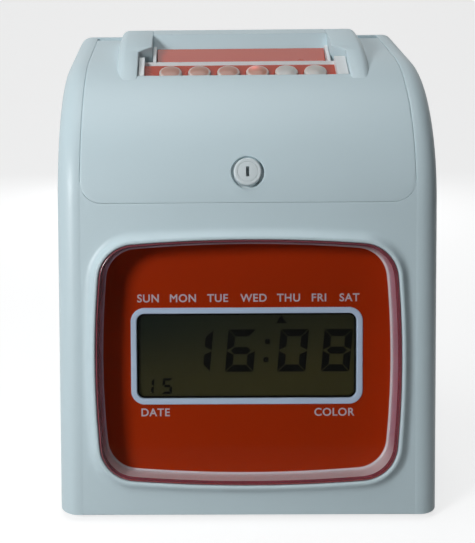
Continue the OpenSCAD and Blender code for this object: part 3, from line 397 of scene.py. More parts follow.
# Moulded surface: cloudy tone, fine grain for the height, and a roughness that wanders a little
CLOUD_SIZE, ROUGH_SWING, BUMP_REACH, COAT_ROUGH = 28.0, 0.12, 0.0004, 0.08
moulded = bpy.data.node_groups.new("moulded_surface", "ShaderNodeTree")
for way, labels in (("INPUT", ("Tone", "Cloud", "Grain Size", "Roughness")),
                    ("OUTPUT", ("Color", "Roughness", "Height"))):
    for label in labels:
        kind = "NodeSocketColor" if label in ("Tone", "Color") else "NodeSocketFloat"
        moulded.interface.new_socket(label, in_out=way, socket_type=kind)
group_in = step_node(moulded, "NodeGroupInput").outputs
spot = step_node(moulded, "ShaderNodeTexCoord").outputs["Object"]
cloud = step_node(moulded, "ShaderNodeTexNoise", {"Scale": CLOUD_SIZE, "Detail": 3.0}, {"Vector": spot})
grain = step_node(moulded, "ShaderNodeTexNoise", {"Detail": 2.0}, {"Vector": spot, "Scale": group_in["Grain Size"]})
shift = math_node(moulded, "SUBTRACT", {1: 0.5}, {0: cloud.outputs["Fac"]})
swing = math_node(moulded, "MULTIPLY", None, {0: shift, 1: group_in["Cloud"]})
level = math_node(moulded, "ADD", {1: 1.0}, {0: swing})
tint = step_node(moulded, "ShaderNodeVectorMath", None, {0: group_in["Tone"], "Scale": level}, operation="SCALE")
rough = math_node(moulded, "MULTIPLY_ADD", {1: ROUGH_SWING}, {0: shift, 2: group_in["Roughness"]})
step_node(moulded, "NodeGroupOutput", None,
          {"Color": tint.outputs[0], "Roughness": rough, "Height": grain.outputs["Fac"]})


def moulded_finish(name, tone, roughness, cloud=0.05, grain_size=2600.0, grain_depth=0.02, coat=0.0, metal=0.0,
                   gloss=0.5):
    """A moulded or painted finish: the shared surface group feeds colour, roughness and a fine bump."""
    made, tree, base = blank_finish(name)
    fixed = {"Tone": (*tone, 1.0), "Cloud": cloud, "Grain Size": grain_size, "Roughness": roughness}
    surface = step_node(tree, "ShaderNodeGroup", fixed, node_tree=moulded).outputs
    bump = step_node(tree, "ShaderNodeBump", {"Strength": grain_depth, "Distance": BUMP_REACH},
                     {"Height": surface["Height"]})
    set_node(tree, base, {"Metallic": metal, "Coat Weight": coat, "Coat Roughness": COAT_ROUGH,
                          "Specular IOR Level": gloss},
             {"Base Color": surface["Color"], "Roughness": surface["Roughness"], "Normal": bump.outputs["Normal"]})
    return made


def blend_tone(finish, share, tone):
    """Mixes a second tone over a finish's colour by a share, given as a node output of that finish."""
    tree = finish.node_tree
    base = tree.nodes["Principled BSDF"]
    under = base.inputs["Base Color"].links[0].from_socket
    mix = step_node(tree, "ShaderNodeMix", {"B": (*tone, 1.0)}, {"Factor": share, "A": under}, data_type="RGBA")
    set_node(tree, base, None, {"Base Color": mix.outputs["Result"]})


def share_of(finish, name):
    """Output of a named vertex attribute in a finish."""
    return step_node(finish.node_tree, "ShaderNodeAttribute", attribute_name=name).outputs["Fac"]


def give(material, *names):
    """Puts one finish on CAD nodes."""
    for name in names:
        mesh = node[name].data
        mesh.materials.clear()
        mesh.materials.append(material)


case_finish = moulded_finish("case_plastic", (0.61, 0.735, 0.78), 0.42, cloud=0.03, grain_depth=0.10)
front_piece = add_piece("housing_front", *front_frame(), case_finish)
left_piece = add_piece("housing_left_side", *side_wall(-1), case_finish)
right_piece = add_piece("housing_right_side", *side_wall(1), case_finish)
for piece in (front_piece, left_piece, right_piece):
    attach(piece, "case")
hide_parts("main_housing")
give(case_finish, "rear_cover", "base_plate", "top_cover")

# Lid
# One moulding of the same plastic as the housing: a bent plate with rounded lower corners, hung at the rear
# on two pins in its rolled edge. A collar with sloping arms stands round the card inlet and the keys.
LID_GAP, LID_REACH, OPENING_BACK = 0.07, 43.0, 14.0
LIP_T = SEAM + BEND_R * (math.radians(90.0 - 26.2) - LEAN)
KEY_HALF, SLOT_HALF, SLOT_Y, STEP_RUN = 51.0, 44.5, 31.89, 4.5
COLLAR_H, COLLAR_R, COLLAR_HALF, COLLAR_EDGE = 7.5, 86.0, 61.5, 4.5
COLLAR_FRONT, COLLAR_BACK, COLLAR_ROUND, COLLAR_FOOT = 18.0, 33.0, 2.0, 2.4
COLLAR_LEAN, COLLAR_FALL, COLLAR_TAIL, INNER_SOFT, INNER_CUT = 6.0, 31.0, 15.0, 0.8, 0.24
ROLL_HALF, ROLL_R, ROLL_SOFT = 75.25, 5.0, 0.5
LOCK_TILT = math.radians(90.0 - 67.3)
LOCK_T = SEAM + BEND_R * (LOCK_TILT - LEAN)
LOCK_HOLE, LOCK_SEAT, SEAT_LAP, SEAT_LIFT = 7.5, 9.6, 0.4, 0.004


def lid_plate():
    """Plate between the opening and the lid's border, in runs that share corners: front, right, rear, left.
    Lines across it are straight on the unrolled case, with a small round at both edges. Round the lock
    the faces are left out, and the rim of that hole is drawn to a circle and walled."""
    half, r = LID_HALF - LID_GAP, LID_CORNER - LID_GAP
    low, high = SEAM + LID_GAP, TOP_T + LID_REACH
    arc, rise = [arc_line(half - r, -low - r, r, quarter(14, 45.0, end)) * (1, -1) for end in (90.0, 0.0)]
    front = np.concatenate([arc * (-1, 1), arc[::-1]])
    right = np.concatenate([rise, [[half, high]]])
    rear = np.array([[half, high], [-half, high]])
    outer = four_sides([front, right, rear, right[::-1] * (-1, 1)])
    back = TOP_T + OPENING_BACK
    box = np.array([[-KEY_HALF, LIP_T], [KEY_HALF, LIP_T], [KEY_HALF, back], [-KEY_HALF, back], [-KEY_HALF, LIP_T]])
    inner = four_sides([box[k:k + 2] for k in range(4)])
    reach = np.hypot(*(outer - inner).T)[:, None]
    ends = np.array([0.0, 0.1, 0.35, 0.8]) / reach
    middle = np.linspace(0.05, 0.95, 44) + 0 * reach
    share = np.concatenate([ends, middle, 1.0 - ends[:, ::-1] * 0.75], 1)
    drop = np.concatenate([[0.8, 0.38, 0.12, 0.0], np.zeros(44), [0.0, 0.04, 0.12, 0.3]])
    place = inner[:, None] + (outer - inner)[:, None] * share[..., None]
    points, quads = shell(laid(place, drop), laid(place, WALL), around=True)
    flat = np.concatenate([place.reshape(-1, 2)] * 2)
    gone = (np.hypot(*(flat - (0.0, LOCK_T)).T) < LOCK_SEAT + 0.5)[quads].all(1)
    count = len(flat) // 2
    cut = quads[gone & (quads < count).all(1)]
    edges = np.concatenate([np.stack([cut[:, k], cut[:, (k + 1) % 4]], -1) for k in range(4)])
    first, uses = np.unique(np.sort(edges, 1), axis=0, return_index=True, return_counts=True)[1:]
    rim = edges[first[uses == 1]]
    near = np.unique(rim)
    spot = flat[near] - (0.0, LOCK_T)
    spot = spot / np.hypot(*spot.T)[:, None] * LOCK_SEAT + (0.0, LOCK_T)
    points[near], points[near + count] = laid(spot, 0.0), laid(spot, WALL)
    wall = np.stack([rim[:, 0], rim[:, 1], rim[:, 1] + count, rim[:, 0] + count], -1)
    return points, np.concatenate([quads[~gone], wall])


def lock_seat():
    """Ring of the lid round the lock: a section of radius and depth turned on the unrolled lid, then laid
    on its curve."""
    outer = LOCK_SEAT + SEAT_LAP
    section = np.array([[outer, -SEAT_LIFT], [8.6, -SEAT_LIFT], [LOCK_HOLE + 0.25, -SEAT_LIFT],
                        [LOCK_HOLE + 0.07, 0.06], [LOCK_HOLE, 0.25], [LOCK_HOLE, WALL], [outer, WALL]])
    turn = np.radians(np.arange(0.0, 360.0, 4.0))[:, None]
    return wrapped(on_skin(section[:, 0] * np.cos(turn), LOCK_T + section[:, 0] * np.sin(turn), section[:, 1]))


def loft(rows):
    """Points and faces of a closed loop of points carried along rows, with a face on each end."""
    count, cols = rows.shape[:2]
    order = np.arange(count * cols).reshape(count, cols)
    ring = np.hstack([order, order[:, :1]])
    return rows.reshape(-1, 3), [*grid_quads(ring).tolist(), order[0].tolist(), order[-1, ::-1].tolist()]


def over_top(x, q, h):
    """A place by the top in millimetres: x across, q back from the bend, h above the top's slope."""
    x, q, h = np.broadcast_arrays(x, q, h)
    return np.stack([x, CREST_Y + q * math.cos(RISE) - h * math.sin(RISE),
                     CREST_Z + q * math.sin(RISE) + h * math.cos(RISE)], -1)


def collar_line():
    """Middle line of the collar's top: an arc that falls to the lid, a straight run, and a rounded rear edge.
    Gives place back, height, and the tilt of the normal."""
    fall = quarter(49, COLLAR_FALL, 0.0)
    run = np.linspace(COLLAR_FRONT + 1.0, COLLAR_BACK - COLLAR_ROUND - 0.4, 8)
    bend = quarter(8)[1:]
    q = np.concatenate([COLLAR_FRONT - COLLAR_R * np.sin(fall), run,
                        COLLAR_BACK - COLLAR_ROUND + COLLAR_ROUND * np.sin(bend)])
    h = COLLAR_H - np.concatenate([COLLAR_R * (1.0 - np.cos(fall)), 0 * run, COLLAR_ROUND * (1.0 - np.cos(bend))])
    return q, h, np.concatenate([fall, 0 * run, 0 * bend])


def collar_arm(side):
    """Loop of an arm's section carried along the collar's line: outer wall, quarter round, flat, inner edge
    and wall. The inner wall runs inwards on a slant where the key opening narrows to the card slot, and
    the line gets a point of its own where the slant ends."""
    q, h, tilt = collar_line()
    y = over_top(0.0, q, h)[:, 1]
    step = int(np.argmax(y > CREST_Y))
    share = (CREST_Y - y[step - 1]) / (y[step] - y[step - 1])
    q, h, tilt = [np.insert(v, step, v[step - 1] + (v[step] - v[step - 1]) * share) for v in (q, h, tilt)]
    y = over_top(0.0, q, h)[:, 1]
    inner = np.interp(y, [CREST_Y - STEP_RUN, CREST_Y], [KEY_HALF, SLOT_HALF])[:, None]
    deep = (np.where(q < 0, np.hypot(q, h + BEND_R) - BEND_R, h) + COLLAR_FOOT)[:, None]
    bend = quarter(13)
    round_x = COLLAR_HALF - COLLAR_EDGE + COLLAR_EDGE * np.cos(bend)
    round_e = COLLAR_EDGE * (1.0 - np.sin(bend))
    ones = np.ones((len(q), 1))
    x = np.hstack([COLLAR_HALF * ones, round_x * ones, inner + INNER_SOFT, inner + INNER_CUT, inner, inner])
    e = np.hstack([deep, np.minimum(round_e, deep), 0 * ones, INNER_CUT * ones, INNER_SOFT * ones, deep])
    back = q[:, None] + np.sin(tilt)[:, None] * e
    rise = h[:, None] - np.cos(tilt)[:, None] * e
    return loft(over_top(side * x, back, rise))


def collar_wall():
    """Rear wall of the collar between its arms, with a leaning front: a loop in depth and height carried
    across X."""
    q, h = collar_line()[:2]
    place = over_top(0.0, q, h)[:, 1:]
    crest_y = SLOT_Y + COLLAR_LEAN
    place = place[place[:, 0] > crest_y + 0.9]
    lead = place[0, 1] - 0.1 * math.tan(RISE)
    fore = np.array([[SLOT_Y, CREST_Z + 1.0], [crest_y, lead - INNER_SOFT],
                     [crest_y + INNER_CUT, lead - 0.22], [crest_y + INNER_SOFT, lead]])
    tail = over_top(0.0, np.array([COLLAR_BACK, COLLAR_TAIL]), -COLLAR_FOOT)[:, 1:]
    loop = np.concatenate([fore, place, tail])
    return loft(np.stack([np.insert(loop, 0, x, axis=1) for x in (-SLOT_HALF, SLOT_HALF)]))


def rolled_bar(y, z):
    """A bar along X with softly rounded ends: its radius falls off as a quarter round at both ends."""
    inset = ROLL_SOFT * (1 - np.sin(quarter(6)))
    reach = np.concatenate([inset[::-1] - ROLL_HALF, ROLL_HALF - inset])[:, None]
    size = ROLL_R - np.concatenate([inset, inset[::-1]])[:, None]
    turn = np.radians(np.arange(0, 360, 6))
    rows = [reach + 0 * turn, y + size * np.cos(turn), z + size * np.sin(turn)]
    return loft(np.stack(rows, -1))


hinge_spot = [j for j in frame["joints"] if j["name"] == "lid_hinge"][0]["pos_m"]
lid_piece = add_piece("lid_plate", *lid_plate(), case_finish)
lid_others = [("lid_collar_left", collar_arm(-1)), ("lid_collar_right", collar_arm(1)),
              ("lid_collar_rear", collar_wall()), ("lid_lock_seat", lock_seat()),
              ("lid_rolled_edge", rolled_bar(hinge_spot[1] / MM, hinge_spot[2] / MM))]
for piece in (lid_piece, *[add_piece(name, *made, case_finish) for name, made in lid_others]):
    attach(piece, "lid")
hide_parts("top_cover")

# Window
# A clear acrylic tray with a flat front and a deep skirt, dropped into the rim and glued to its skirt.
# Its edge is dark red where it is seen through its length, and the pale rim shows through its skirt's inside, with
# painted light along the bottom and a painted highlight on the foot towards the right.
FRONT_OUT, SKIRT_OUT, SKIRT_IN, FRONT_H, LINING, FOOT_R = -0.8, -0.15, -1.3, 2.4, 0.6, 0.9
TRAY_END, TRAY_MID, TRAY_LAP, LINING_TOP, LINING_LOW, LINING_GAP, JOIN = -13.15, -6.0, -0.35, -1.0, -11.8, 0.02, 0.05
CLEAR_TONE, CLEAR_THROUGH, CLEAR_IOR = (0.93, 0.91, 0.94, 1.0), (0.93, 0.91, 0.93, 1.0), 1.1
# Where the lining gets painted light: along the bottom, and on its foot towards the right
PAINTED_LIGHT_BELOW, PAINTED_LIGHT_FADE, PAINTED_LIGHT_FOOT, PAINTED_FOOT_FADE, PAINTED_LIGHT_RIGHT, PAINTED_RIGHT_FADE = 36.0, 14.0, -11.9, 0.4, 30.0, 30.0


def carried_round(steps):
    """A closed section of outward steps and heights carried round the window's outline."""
    place = np.stack([window_line(o) for o, h in steps], 1)
    return wrapped(laid(place, -np.array([h for o, h in steps])))


def window_front():
    """Flat front of the tray: from its middle out to the edge, down, and back to the middle on the rear side."""
    centre = np.array([0.0, WIN_S])
    shares = np.linspace(0.0, 1.0, 9)
    edge_line = window_line(FRONT_OUT)
    place = np.stack([centre + (edge_line - centre) * k for k in (*shares, *shares[::-1])], 1)
    height = np.repeat([FRONT_H, 0.0], len(shares))
    return wrapped(laid(place, -height), tube=False)


def window_skirt():
    """Rounded outer edge of the front, the skirt's outside down to its end, and its inside back up."""
    start, lined, r = FRONT_OUT + JOIN, SKIRT_IN + LINING, SKIRT_OUT - FRONT_OUT - JOIN
    steps = [(start + r * math.sin(k), FRONT_H - r + r * math.cos(k)) for k in quarter(8)]
    steps += [(SKIRT_OUT, TRAY_MID), (SKIRT_OUT, TRAY_END), (lined, TRAY_END), (lined, TRAY_MID), (lined, LINING_TOP)]
    return carried_round(steps + [(SKIRT_IN - JOIN, LINING_TOP), (SKIRT_IN - JOIN, TRAY_LAP), (start, TRAY_LAP)])


def window_lining():
    """Inner face of the skirt: a thin wall from the front's rear side down to a rounded foot on the plate."""
    outer, top = SKIRT_IN + LINING - LINING_GAP, LINING_TOP - LINING_GAP
    steps = [(outer, top), (SKIRT_IN, top), (SKIRT_IN, TRAY_MID), (SKIRT_IN, LINING_LOW)]
    steps += [(SKIRT_IN - FOOT_R * (1.0 - math.cos(b)), TRAY_END + FOOT_R * (1.0 - math.sin(b))) for b in quarter(6)]
    return carried_round(steps + [(outer, TRAY_END)])


clear_finish, clear_tree, clear_base = blank_finish("clear_window")
set_node(clear_tree, clear_base,
         {"Base Color": CLEAR_TONE, "Roughness": 0.02, "IOR": CLEAR_IOR, "Transmission Weight": 1.0})
clear_through = step_node(clear_tree, "ShaderNodeBsdfTransparent", {"Color": CLEAR_THROUGH})
clear_path = step_node(clear_tree, "ShaderNodeLightPath").outputs
clear_any = math_node(clear_tree, "MAXIMUM", None, {0: clear_path["Is Shadow Ray"], 1: clear_path["Is Diffuse Ray"]})
clear_mix = step_node(clear_tree, "ShaderNodeMixShader", None,
                      {0: clear_any, 1: clear_base.outputs[0], 2: clear_through.outputs[0]})
set_node(clear_tree, clear_tree.nodes["Material Output"], None, {"Surface": clear_mix.outputs[0]})

edge_finish = moulded_finish("window_edge", (0.23, 0.038, 0.055), 0.2, cloud=0.5, grain_depth=0.05, coat=0.5)
lining_finish = moulded_finish("window_lining", (0.48, 0.29, 0.36), 0.3, cloud=0.5, grain_depth=0.05, coat=0.2)
# The paler tone mixed in here is painted light on the lining, not a colour of its own
blend_tone(lining_finish, share_of(lining_finish, "pale"), (0.68, 0.66, 0.64))
window_piece = add_piece("window_tray", *window_front(), clear_finish)
window_edge = add_piece("window_skirt", *window_skirt(), edge_finish)
window_wall = add_piece("window_lining", *window_lining(), lining_finish)
# Painted light: the lining is blended to a paler tone along the bottom, where it faces up to the lamps, and a painted
# highlight lies on its foot towards the right, the side the key lamp lights
wall_spots = spots_of(window_wall) - on_skin(0.0, 0.0, 0.0)
painted_low_light = np.clip((PAINTED_LIGHT_BELOW - wall_spots @ FACE_UP) / PAINTED_LIGHT_FADE, 0.0, 1.0)
painted_foot_light = np.clip((PAINTED_LIGHT_FOOT - wall_spots @ FACE_OUT) / PAINTED_FOOT_FADE, 0.0, 1.0)
painted_right_light = np.clip((wall_spots[:, 0] - PAINTED_LIGHT_RIGHT) / PAINTED_RIGHT_FADE, 0.0, 1.0)
mark(window_wall, "pale", np.maximum(painted_foot_light * painted_right_light, painted_low_light))
for piece in (window_piece, window_edge, window_wall):
    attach(piece, "case")
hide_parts("window_lens")

# Orange plate with its legends
# A burnt orange moulding with a matt front, screwed to ears beside the skirt behind the window.
# Weekday, date and colour legends are printed on it in off-white.
PLATE_D, LEGEND_H, LEGEND_LIFT, LETTER_GAP, CAPITAL, LETTER_MERGE = 13.2, 3.6, 0.1, 1.1, 0.7, 1e-7
ORANGE_TONE = (0.42, 0.030, 0.0006)
DAYS = ("SUN", "MON", "TUE", "WED", "THU", "FRI", "SAT")
DAY_S, DAY_SPOTS = 98.35, (-45.9, -29.65, -13.4, 3.45, 19.75, 33.85, 48.0)
LOW_LEGENDS = [("DATE", -42.95, 44.6), ("COLOR", 40.95, 44.5)]
orange_finish = moulded_finish("orange_plastic", ORANGE_TONE, 0.28, cloud=0.06, coat=0.2)
give(moulded_finish("orange_plate", ORANGE_TONE, 0.5, cloud=0.06, gloss=0.04), "face_plate")
ink_finish = moulded_finish("legend_ink", (0.62, 0.60, 0.60), 0.6, cloud=0.08, grain_size=9000.0, grain_depth=0.1)


def face_words(name, lines):
    """Printed words as one mesh: each word is set as text, made a mesh, turned to the leaning face's axes and
    laid on the plate at its middle."""
    turn = Matrix(leaning(LEAN).T.tolist()).to_4x4()
    work = bmesh.new()
    for word, x, s in lines:
        curve = bpy.data.curves.new("word", "FONT")
        curve.body = word
        curve.size = LEGEND_H * MM / CAPITAL
        curve.align_x = curve.align_y = "CENTER"
        curve.space_character = LETTER_GAP
        curve.bevel_depth = LEGEND_LIFT * MM
        curve.bevel_resolution = 0
        holder = show("word", curve)
        flat = bpy.data.meshes.new_from_object(holder)
        flat.transform(Matrix.Translation((on_skin(x, s, PLATE_D) * MM).tolist()) @ turn)
        work.from_mesh(flat)
        bpy.data.objects.remove(holder)
        bpy.data.meshes.remove(flat)
        bpy.data.curves.remove(curve)
    bmesh.ops.remove_doubles(work, verts=work.verts, dist=LETTER_MERGE)
    bmesh.ops.recalc_face_normals(work, faces=work.faces)
    mesh = bpy.data.meshes.new(name)
    work.to_mesh(mesh)
    work.free()
    return show(name, mesh)


legends = face_words("plate_legends", [(day, x, DAY_S) for day, x in zip(DAYS, DAY_SPOTS)] + LOW_LEGENDS)
legends.data.materials.append(ink_finish)
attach(legends, "case")

# Display
# A dark green liquid crystal panel in a pale moulded border with rounded corners, set in the orange plate.
# Black strokes show the time, with the date at the lower left and a small pointer above.
DISP_S, DISP_W, DISP_H = 71.3, 108.5, 45.6
BORDER, BORDER_R, LEAST_R, BORDER_TOP, BORDER_SOFT, BORDER_FOOT = 2.8, 6.5, 0.5, 0.6, 0.45, -1.9
GASKET_OUT, GASKET_IN, GASKET_HIGH, GASKET_LOW, GASKET_FOOT = BORDER - 0.05, BORDER + 0.9, -1.4, -1.5, -2.0
LCD_D, STROKE_LIFT, STROKE_GAP, DIGIT_LEAN = 15.2, 0.06, 0.07, math.tan(math.radians(5.0))
LIT_BARS = {"0": "abcdef", "1": "bc", "5": "acdfg", "6": "acdefg", "8": "abcdefg"}
# Digits with their places across, and their foot, width, height and stroke
TIME_DIGITS, TIME_SIZE = (("1", -30.5), ("6", -10.1), ("0", 14.4), ("8", 35.0)), (63.5, 13.3, 20.1, 3.4)
DATE_DIGITS, DATE_SIZE = (("1", -48.6), ("5", -40.0)), (53.1, 4.7, 7.6, 1.25)
COLON_X, COLON_LEAN, COLON_S, COLON_W, COLON_R = 9.2, 0.09, (69.2, 77.8), 2.4, 0.5
POINTER = np.array([[14.0, 86.4], [19.1, 86.4], [16.4, 90.2]])


def round_box_line(w, h, r, count=24):
    """Closed outline of a box with quarter-round corners."""
    corner = arc_line(w / 2 - r, h / 2 - r, r, quarter(count))
    return np.concatenate([corner, corner[::-1] * (-1, 1), corner * (-1, -1), corner[::-1] * (1, -1)])


def display_ring(steps):
    """A closed section of inward steps and heights over the plate, carried round the display's outline."""
    lines = [round_box_line(DISP_W - 2 * o, DISP_H - 2 * o, max(BORDER_R - o, LEAST_R)) for o, h in steps]
    return wrapped(laid(np.stack(lines, 1) + (0.0, DISP_S), PLATE_D - np.array([h for o, h in steps])))


def border_section():
    """Foot, outer edge with a round, flat top, inner edge with a round, foot."""
    r, level = BORDER_SOFT, BORDER_TOP - BORDER_SOFT
    steps = [(0.0, 0.0)] + [(r - r * math.cos(b), level + r * math.sin(b)) for b in quarter(5)]
    steps += [(BORDER - r + r * math.sin(b), level + r * math.cos(b)) for b in quarter(5)]
    return steps + [(BORDER, BORDER_FOOT), (0.0, BORDER_FOOT)]


border_finish = moulded_finish("border_plastic", (0.58, 0.77, 0.91), 0.4, cloud=0.04, grain_depth=0.05)
border_piece = add_piece("display_border", *display_ring(border_section()), border_finish)
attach(border_piece, "case")
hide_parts("display_bezel")

# The panel turns from green to brown downwards and to the right
panel_finish = moulded_finish("display_panel", (0.008, 0.0135, 0.0075), 0.35, cloud=0.5, grain_size=1500.0, gloss=0.1)
panel_tree = panel_finish.node_tree
panel_spot = step_node(panel_tree, "ShaderNodeTexCoord").outputs["Object"]
panel_parts = step_node(panel_tree, "ShaderNodeSeparateXYZ", None, {0: panel_spot}).outputs
panel_fall = step_node(panel_tree, "ShaderNodeMapRange", {"From Min": 0.088, "From Max": 0.052, "To Max": 0.75},
                       {"Value": panel_parts["Z"]}, interpolation_type="SMOOTHSTEP")
panel_across = step_node(panel_tree, "ShaderNodeMapRange", {"From Min": -0.045, "From Max": 0.045, "To Max": 0.45},
                         {"Value": panel_parts["X"]})
panel_share = math_node(panel_tree, "ADD", None, {0: panel_fall.outputs[0], 1: panel_across.outputs[0]},
                        use_clamp=True)
blend_tone(panel_finish, panel_share, (0.041, 0.039, 0.011))
give(panel_finish, "lcd_glass")


def raised_shapes(outlines, depth, lift):
    """Thin prisms on the front face from outlines of x and s: each outline at two depths, with walls between."""
    points, faces, start = [], [], 0
    for line in outlines:
        n = len(line)
        points += [laid(line, depth), laid(line, depth - lift)]
        ring = np.arange(n)
        after = (ring + 1) % n
        walls = np.stack([ring, after, after + n, ring + n], -1) + start
        faces += [(ring[::-1] + start).tolist(), (ring + n + start).tolist(), *walls.tolist()]
        start += 2 * n
    return np.concatenate(points), faces


def digit_strokes(digits, s, w, h, t):
    """The dark strokes of seven-stroke digits, leaning a little to the right. The outer strokes are bars with
    slanted ends that meet at the corners, and the middle one is pointed at both ends."""
    m, e = h / 2, STROKE_GAP * t
    top = np.array([(e, h), (w - e, h), (w - t - e, h - t), (t + e, h - t)])
    left = np.array([(0.0, h - e), (t, h - t - e), (t, m + t / 2 + e), (0.0, m + e)])
    middle = np.array([(t / 2 + e, m), (t + e, m + t / 2), (w - t - e, m + t / 2), (w - t / 2 - e, m),
                       (w - t - e, m - t / 2), (t + e, m - t / 2)])
    over, across = (0.0, h), (w, 0.0)
    bars = {"a": top, "d": top * (1, -1) + over, "f": left, "e": left * (1, -1) + over,
            "b": left * (-1, 1) + across, "c": left * (-1, -1) + over + across, "g": middle}
    lean = np.array([[1.0, 0.0], [DIGIT_LEAN, 1.0]])
    return [bars[key] @ lean + (x, s) for code, x in digits for key in LIT_BARS[code]]


strokes = digit_strokes(TIME_DIGITS, *TIME_SIZE) + digit_strokes(DATE_DIGITS, *DATE_SIZE) + [POINTER]
colon_dot = round_box_line(COLON_W, COLON_W, COLON_R, 4)
strokes += [colon_dot + (COLON_X + COLON_LEAN * (s - COLON_S[0]), s) for s in COLON_S]
stroke_finish, stroke_tree, stroke_base = blank_finish("display_strokes")
stroke_spot = step_node(stroke_tree, "ShaderNodeTexCoord").outputs["Object"]
stroke_noise = step_node(stroke_tree, "ShaderNodeTexNoise", {"Scale": 900.0, "Detail": 2.0}, {"Vector": stroke_spot})
stroke_ramp = step_node(stroke_tree, "ShaderNodeValToRGB", None, {"Fac": stroke_noise.outputs["Fac"]})
stroke_ramp.color_ramp.elements[0].color = (0.0010, 0.0013, 0.0008, 1.0)
stroke_ramp.color_ramp.elements[1].color = (0.0022, 0.0026, 0.0016, 1.0)
set_node(stroke_tree, stroke_base, {"Roughness": 0.45, "Specular IOR Level": 0.05},
         {"Base Color": stroke_ramp.outputs["Color"]})
stroke_piece = add_piece("display_strokes", *raised_shapes(strokes, LCD_D, STROKE_LIFT), stroke_finish)
# A black gasket closes the gap between the panel and the border
gasket_section = [(GASKET_OUT, GASKET_FOOT), (GASKET_OUT, GASKET_HIGH),
                  (GASKET_IN, GASKET_LOW), (GASKET_IN, GASKET_FOOT)]
gasket_piece = add_piece("display_gasket", *display_ring(gasket_section), stroke_finish)
for piece in (stroke_piece, gasket_piece):
    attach(piece, "case")

# Lock
# A white cam lock: a flange with a rounded edge on the lid, held by a nut behind it, and a plug with an
# upright keyway that turns in it.
PLUG_R, PLUG_GAP, PLUG_FREE, PLUG_SOFT, PLUG_TOP, PLUG_END = 4.6, 0.03, 0.04, 0.12, 1.56, -14.2
KEYWAY_HALF, KEYWAY_FLOOR = (0.68, 2.25), -4.0
FLANGE_R, FLANGE_SOFT, FLANGE_TOP = 6.3, 0.75, 1.62
SHOULDER_R, SHOULDER_TOP, SHOULDER_END, BARREL_R, BARREL_END = 7.42, -2.6, -3.6, 6.0, -13.8


def lathe(profile):
    """A closed profile of radius and height turned round the Z axis, with its last point joined to its first."""
    turn = np.radians(np.arange(0.0, 360.0, 5.0))[:, None]
    radius, height = np.asarray(profile, float).T
    return wrapped(np.stack(np.broadcast_arrays(radius * np.cos(turn), radius * np.sin(turn), height), -1))


def stand(made, place, tilt):
    """Points turned so that their Z axis is a leaning face's way out, and moved to a place, with their quads."""
    points, quads = made
    return points.reshape(-1, 3) @ leaning(tilt) + place, quads


def lock_core():
    """Plug turned round a keyway: keyway floor, its wall, the face out to a rounded edge, the side and the rear."""
    circle = arc_line(0.0, 0.0, 1.0, np.radians(np.arange(1.0, 361.0, 3.0)))
    keyway = circle * np.min(KEYWAY_HALF / np.abs(circle), axis=1, keepdims=True)
    side, r = PLUG_R - PLUG_FREE, PLUG_SOFT
    steps = [(0 * circle, KEYWAY_FLOOR), (keyway, KEYWAY_FLOOR), (keyway, 1.2), (keyway, 1.4),
             (keyway + r * circle, PLUG_TOP)]
    steps += [(circle * (side - r + r * math.sin(b)), PLUG_TOP - r + r * math.cos(b)) for b in quarter(6)]
    steps += [(circle * side, PLUG_END), (0 * circle, PLUG_END)]
    return wrapped(np.stack([np.insert(line, 2, height, axis=1) for line, height in steps], 1), tube=False)


lock_finish = moulded_finish("lock_white", (0.70, 0.77, 0.79), 0.32, cloud=0.04, grain_depth=0.03, coat=0.15)
lock_place = on_skin(0.0, LOCK_T, 0.0)
flange = [(PLUG_R + PLUG_GAP, 1.52), (PLUG_R + 0.1, 1.6), (5.4, FLANGE_TOP)]
flange += [(FLANGE_R - FLANGE_SOFT * (1.0 - math.sin(b)), FLANGE_TOP - FLANGE_SOFT * (1.0 - math.cos(b)))
           for b in quarter(9)]
flange += [(FLANGE_R, SHOULDER_TOP), (SHOULDER_R, SHOULDER_TOP), (SHOULDER_R, SHOULDER_END),
           (BARREL_R, SHOULDER_END), (BARREL_R, BARREL_END), (PLUG_R + PLUG_GAP, BARREL_END)]
lock_ring = add_piece("lock_flange", *stand(lathe(flange), lock_place, LOCK_TILT), lock_finish)
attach(lock_ring, "lid")
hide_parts("lock_body")
lock_plug = add_piece("lock_core", *stand(lock_core(), lock_place, LOCK_TILT), lock_finish)
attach(lock_plug, "lock")
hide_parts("lock_plug")

# Keys
# Six round keys in bores of an orange strip, each held by a flange under it, with a stem over its switch.
# The first four are tinted, over red lamps, and the fourth is lit. The last two are plain white.
PANEL_SPOT, PANEL_TILT, KEY_PITCH = np.array([0.0, 5.758, 195.929]), math.radians(60.0), 14.1
KEY_R, KEY_TOP, DOME_R, KEY_SOFT = 5.5, 2.4, 15.4, 0.7
KEY_FLANGE_R, KEY_FLANGE_TOP, KEY_FLANGE_LOW, KEY_DRAFT, STEM_R, STEM_END = 6.35, -1.8, -2.7, 0.05, 1.4, -3.68
# Painted highlight on the keys' rims: its tone, where it starts and how fast it fades in
RIM_HIGHLIGHT_TONE, RIM_HIGHLIGHT_FROM, RIM_HIGHLIGHT_FADE = (0.62, 0.57, 0.54), 4.3, 0.6
LIT_X, LIT_UP, LIT_SPREAD = -1.5, 2.7, 1.6


def key_profile():
    """Dome, rounded edge, side, flange and stem of a key, from the top's middle to the stem's end."""
    inner, centre = DOME_R - KEY_SOFT, KEY_TOP - DOME_R
    edge = math.asin((KEY_R - KEY_SOFT) / inner)
    line = [(DOME_R * math.sin(a), centre + DOME_R * math.cos(a)) for a in np.linspace(0.0, edge, 12)]
    cx, cz = inner * math.sin(edge), centre + inner * math.cos(edge)
    line += [(cx + KEY_SOFT * math.sin(a), cz + KEY_SOFT * math.cos(a))
             for a in np.linspace(edge, math.pi / 2, 8)[1:]]
    line += [(KEY_R, KEY_FLANGE_TOP), (KEY_FLANGE_R, KEY_FLANGE_TOP - KEY_DRAFT),
             (KEY_FLANGE_R, KEY_FLANGE_LOW + KEY_DRAFT), (STEM_R, KEY_FLANGE_LOW)]
    return line + [(STEM_R, STEM_END), (0.0, STEM_END)]


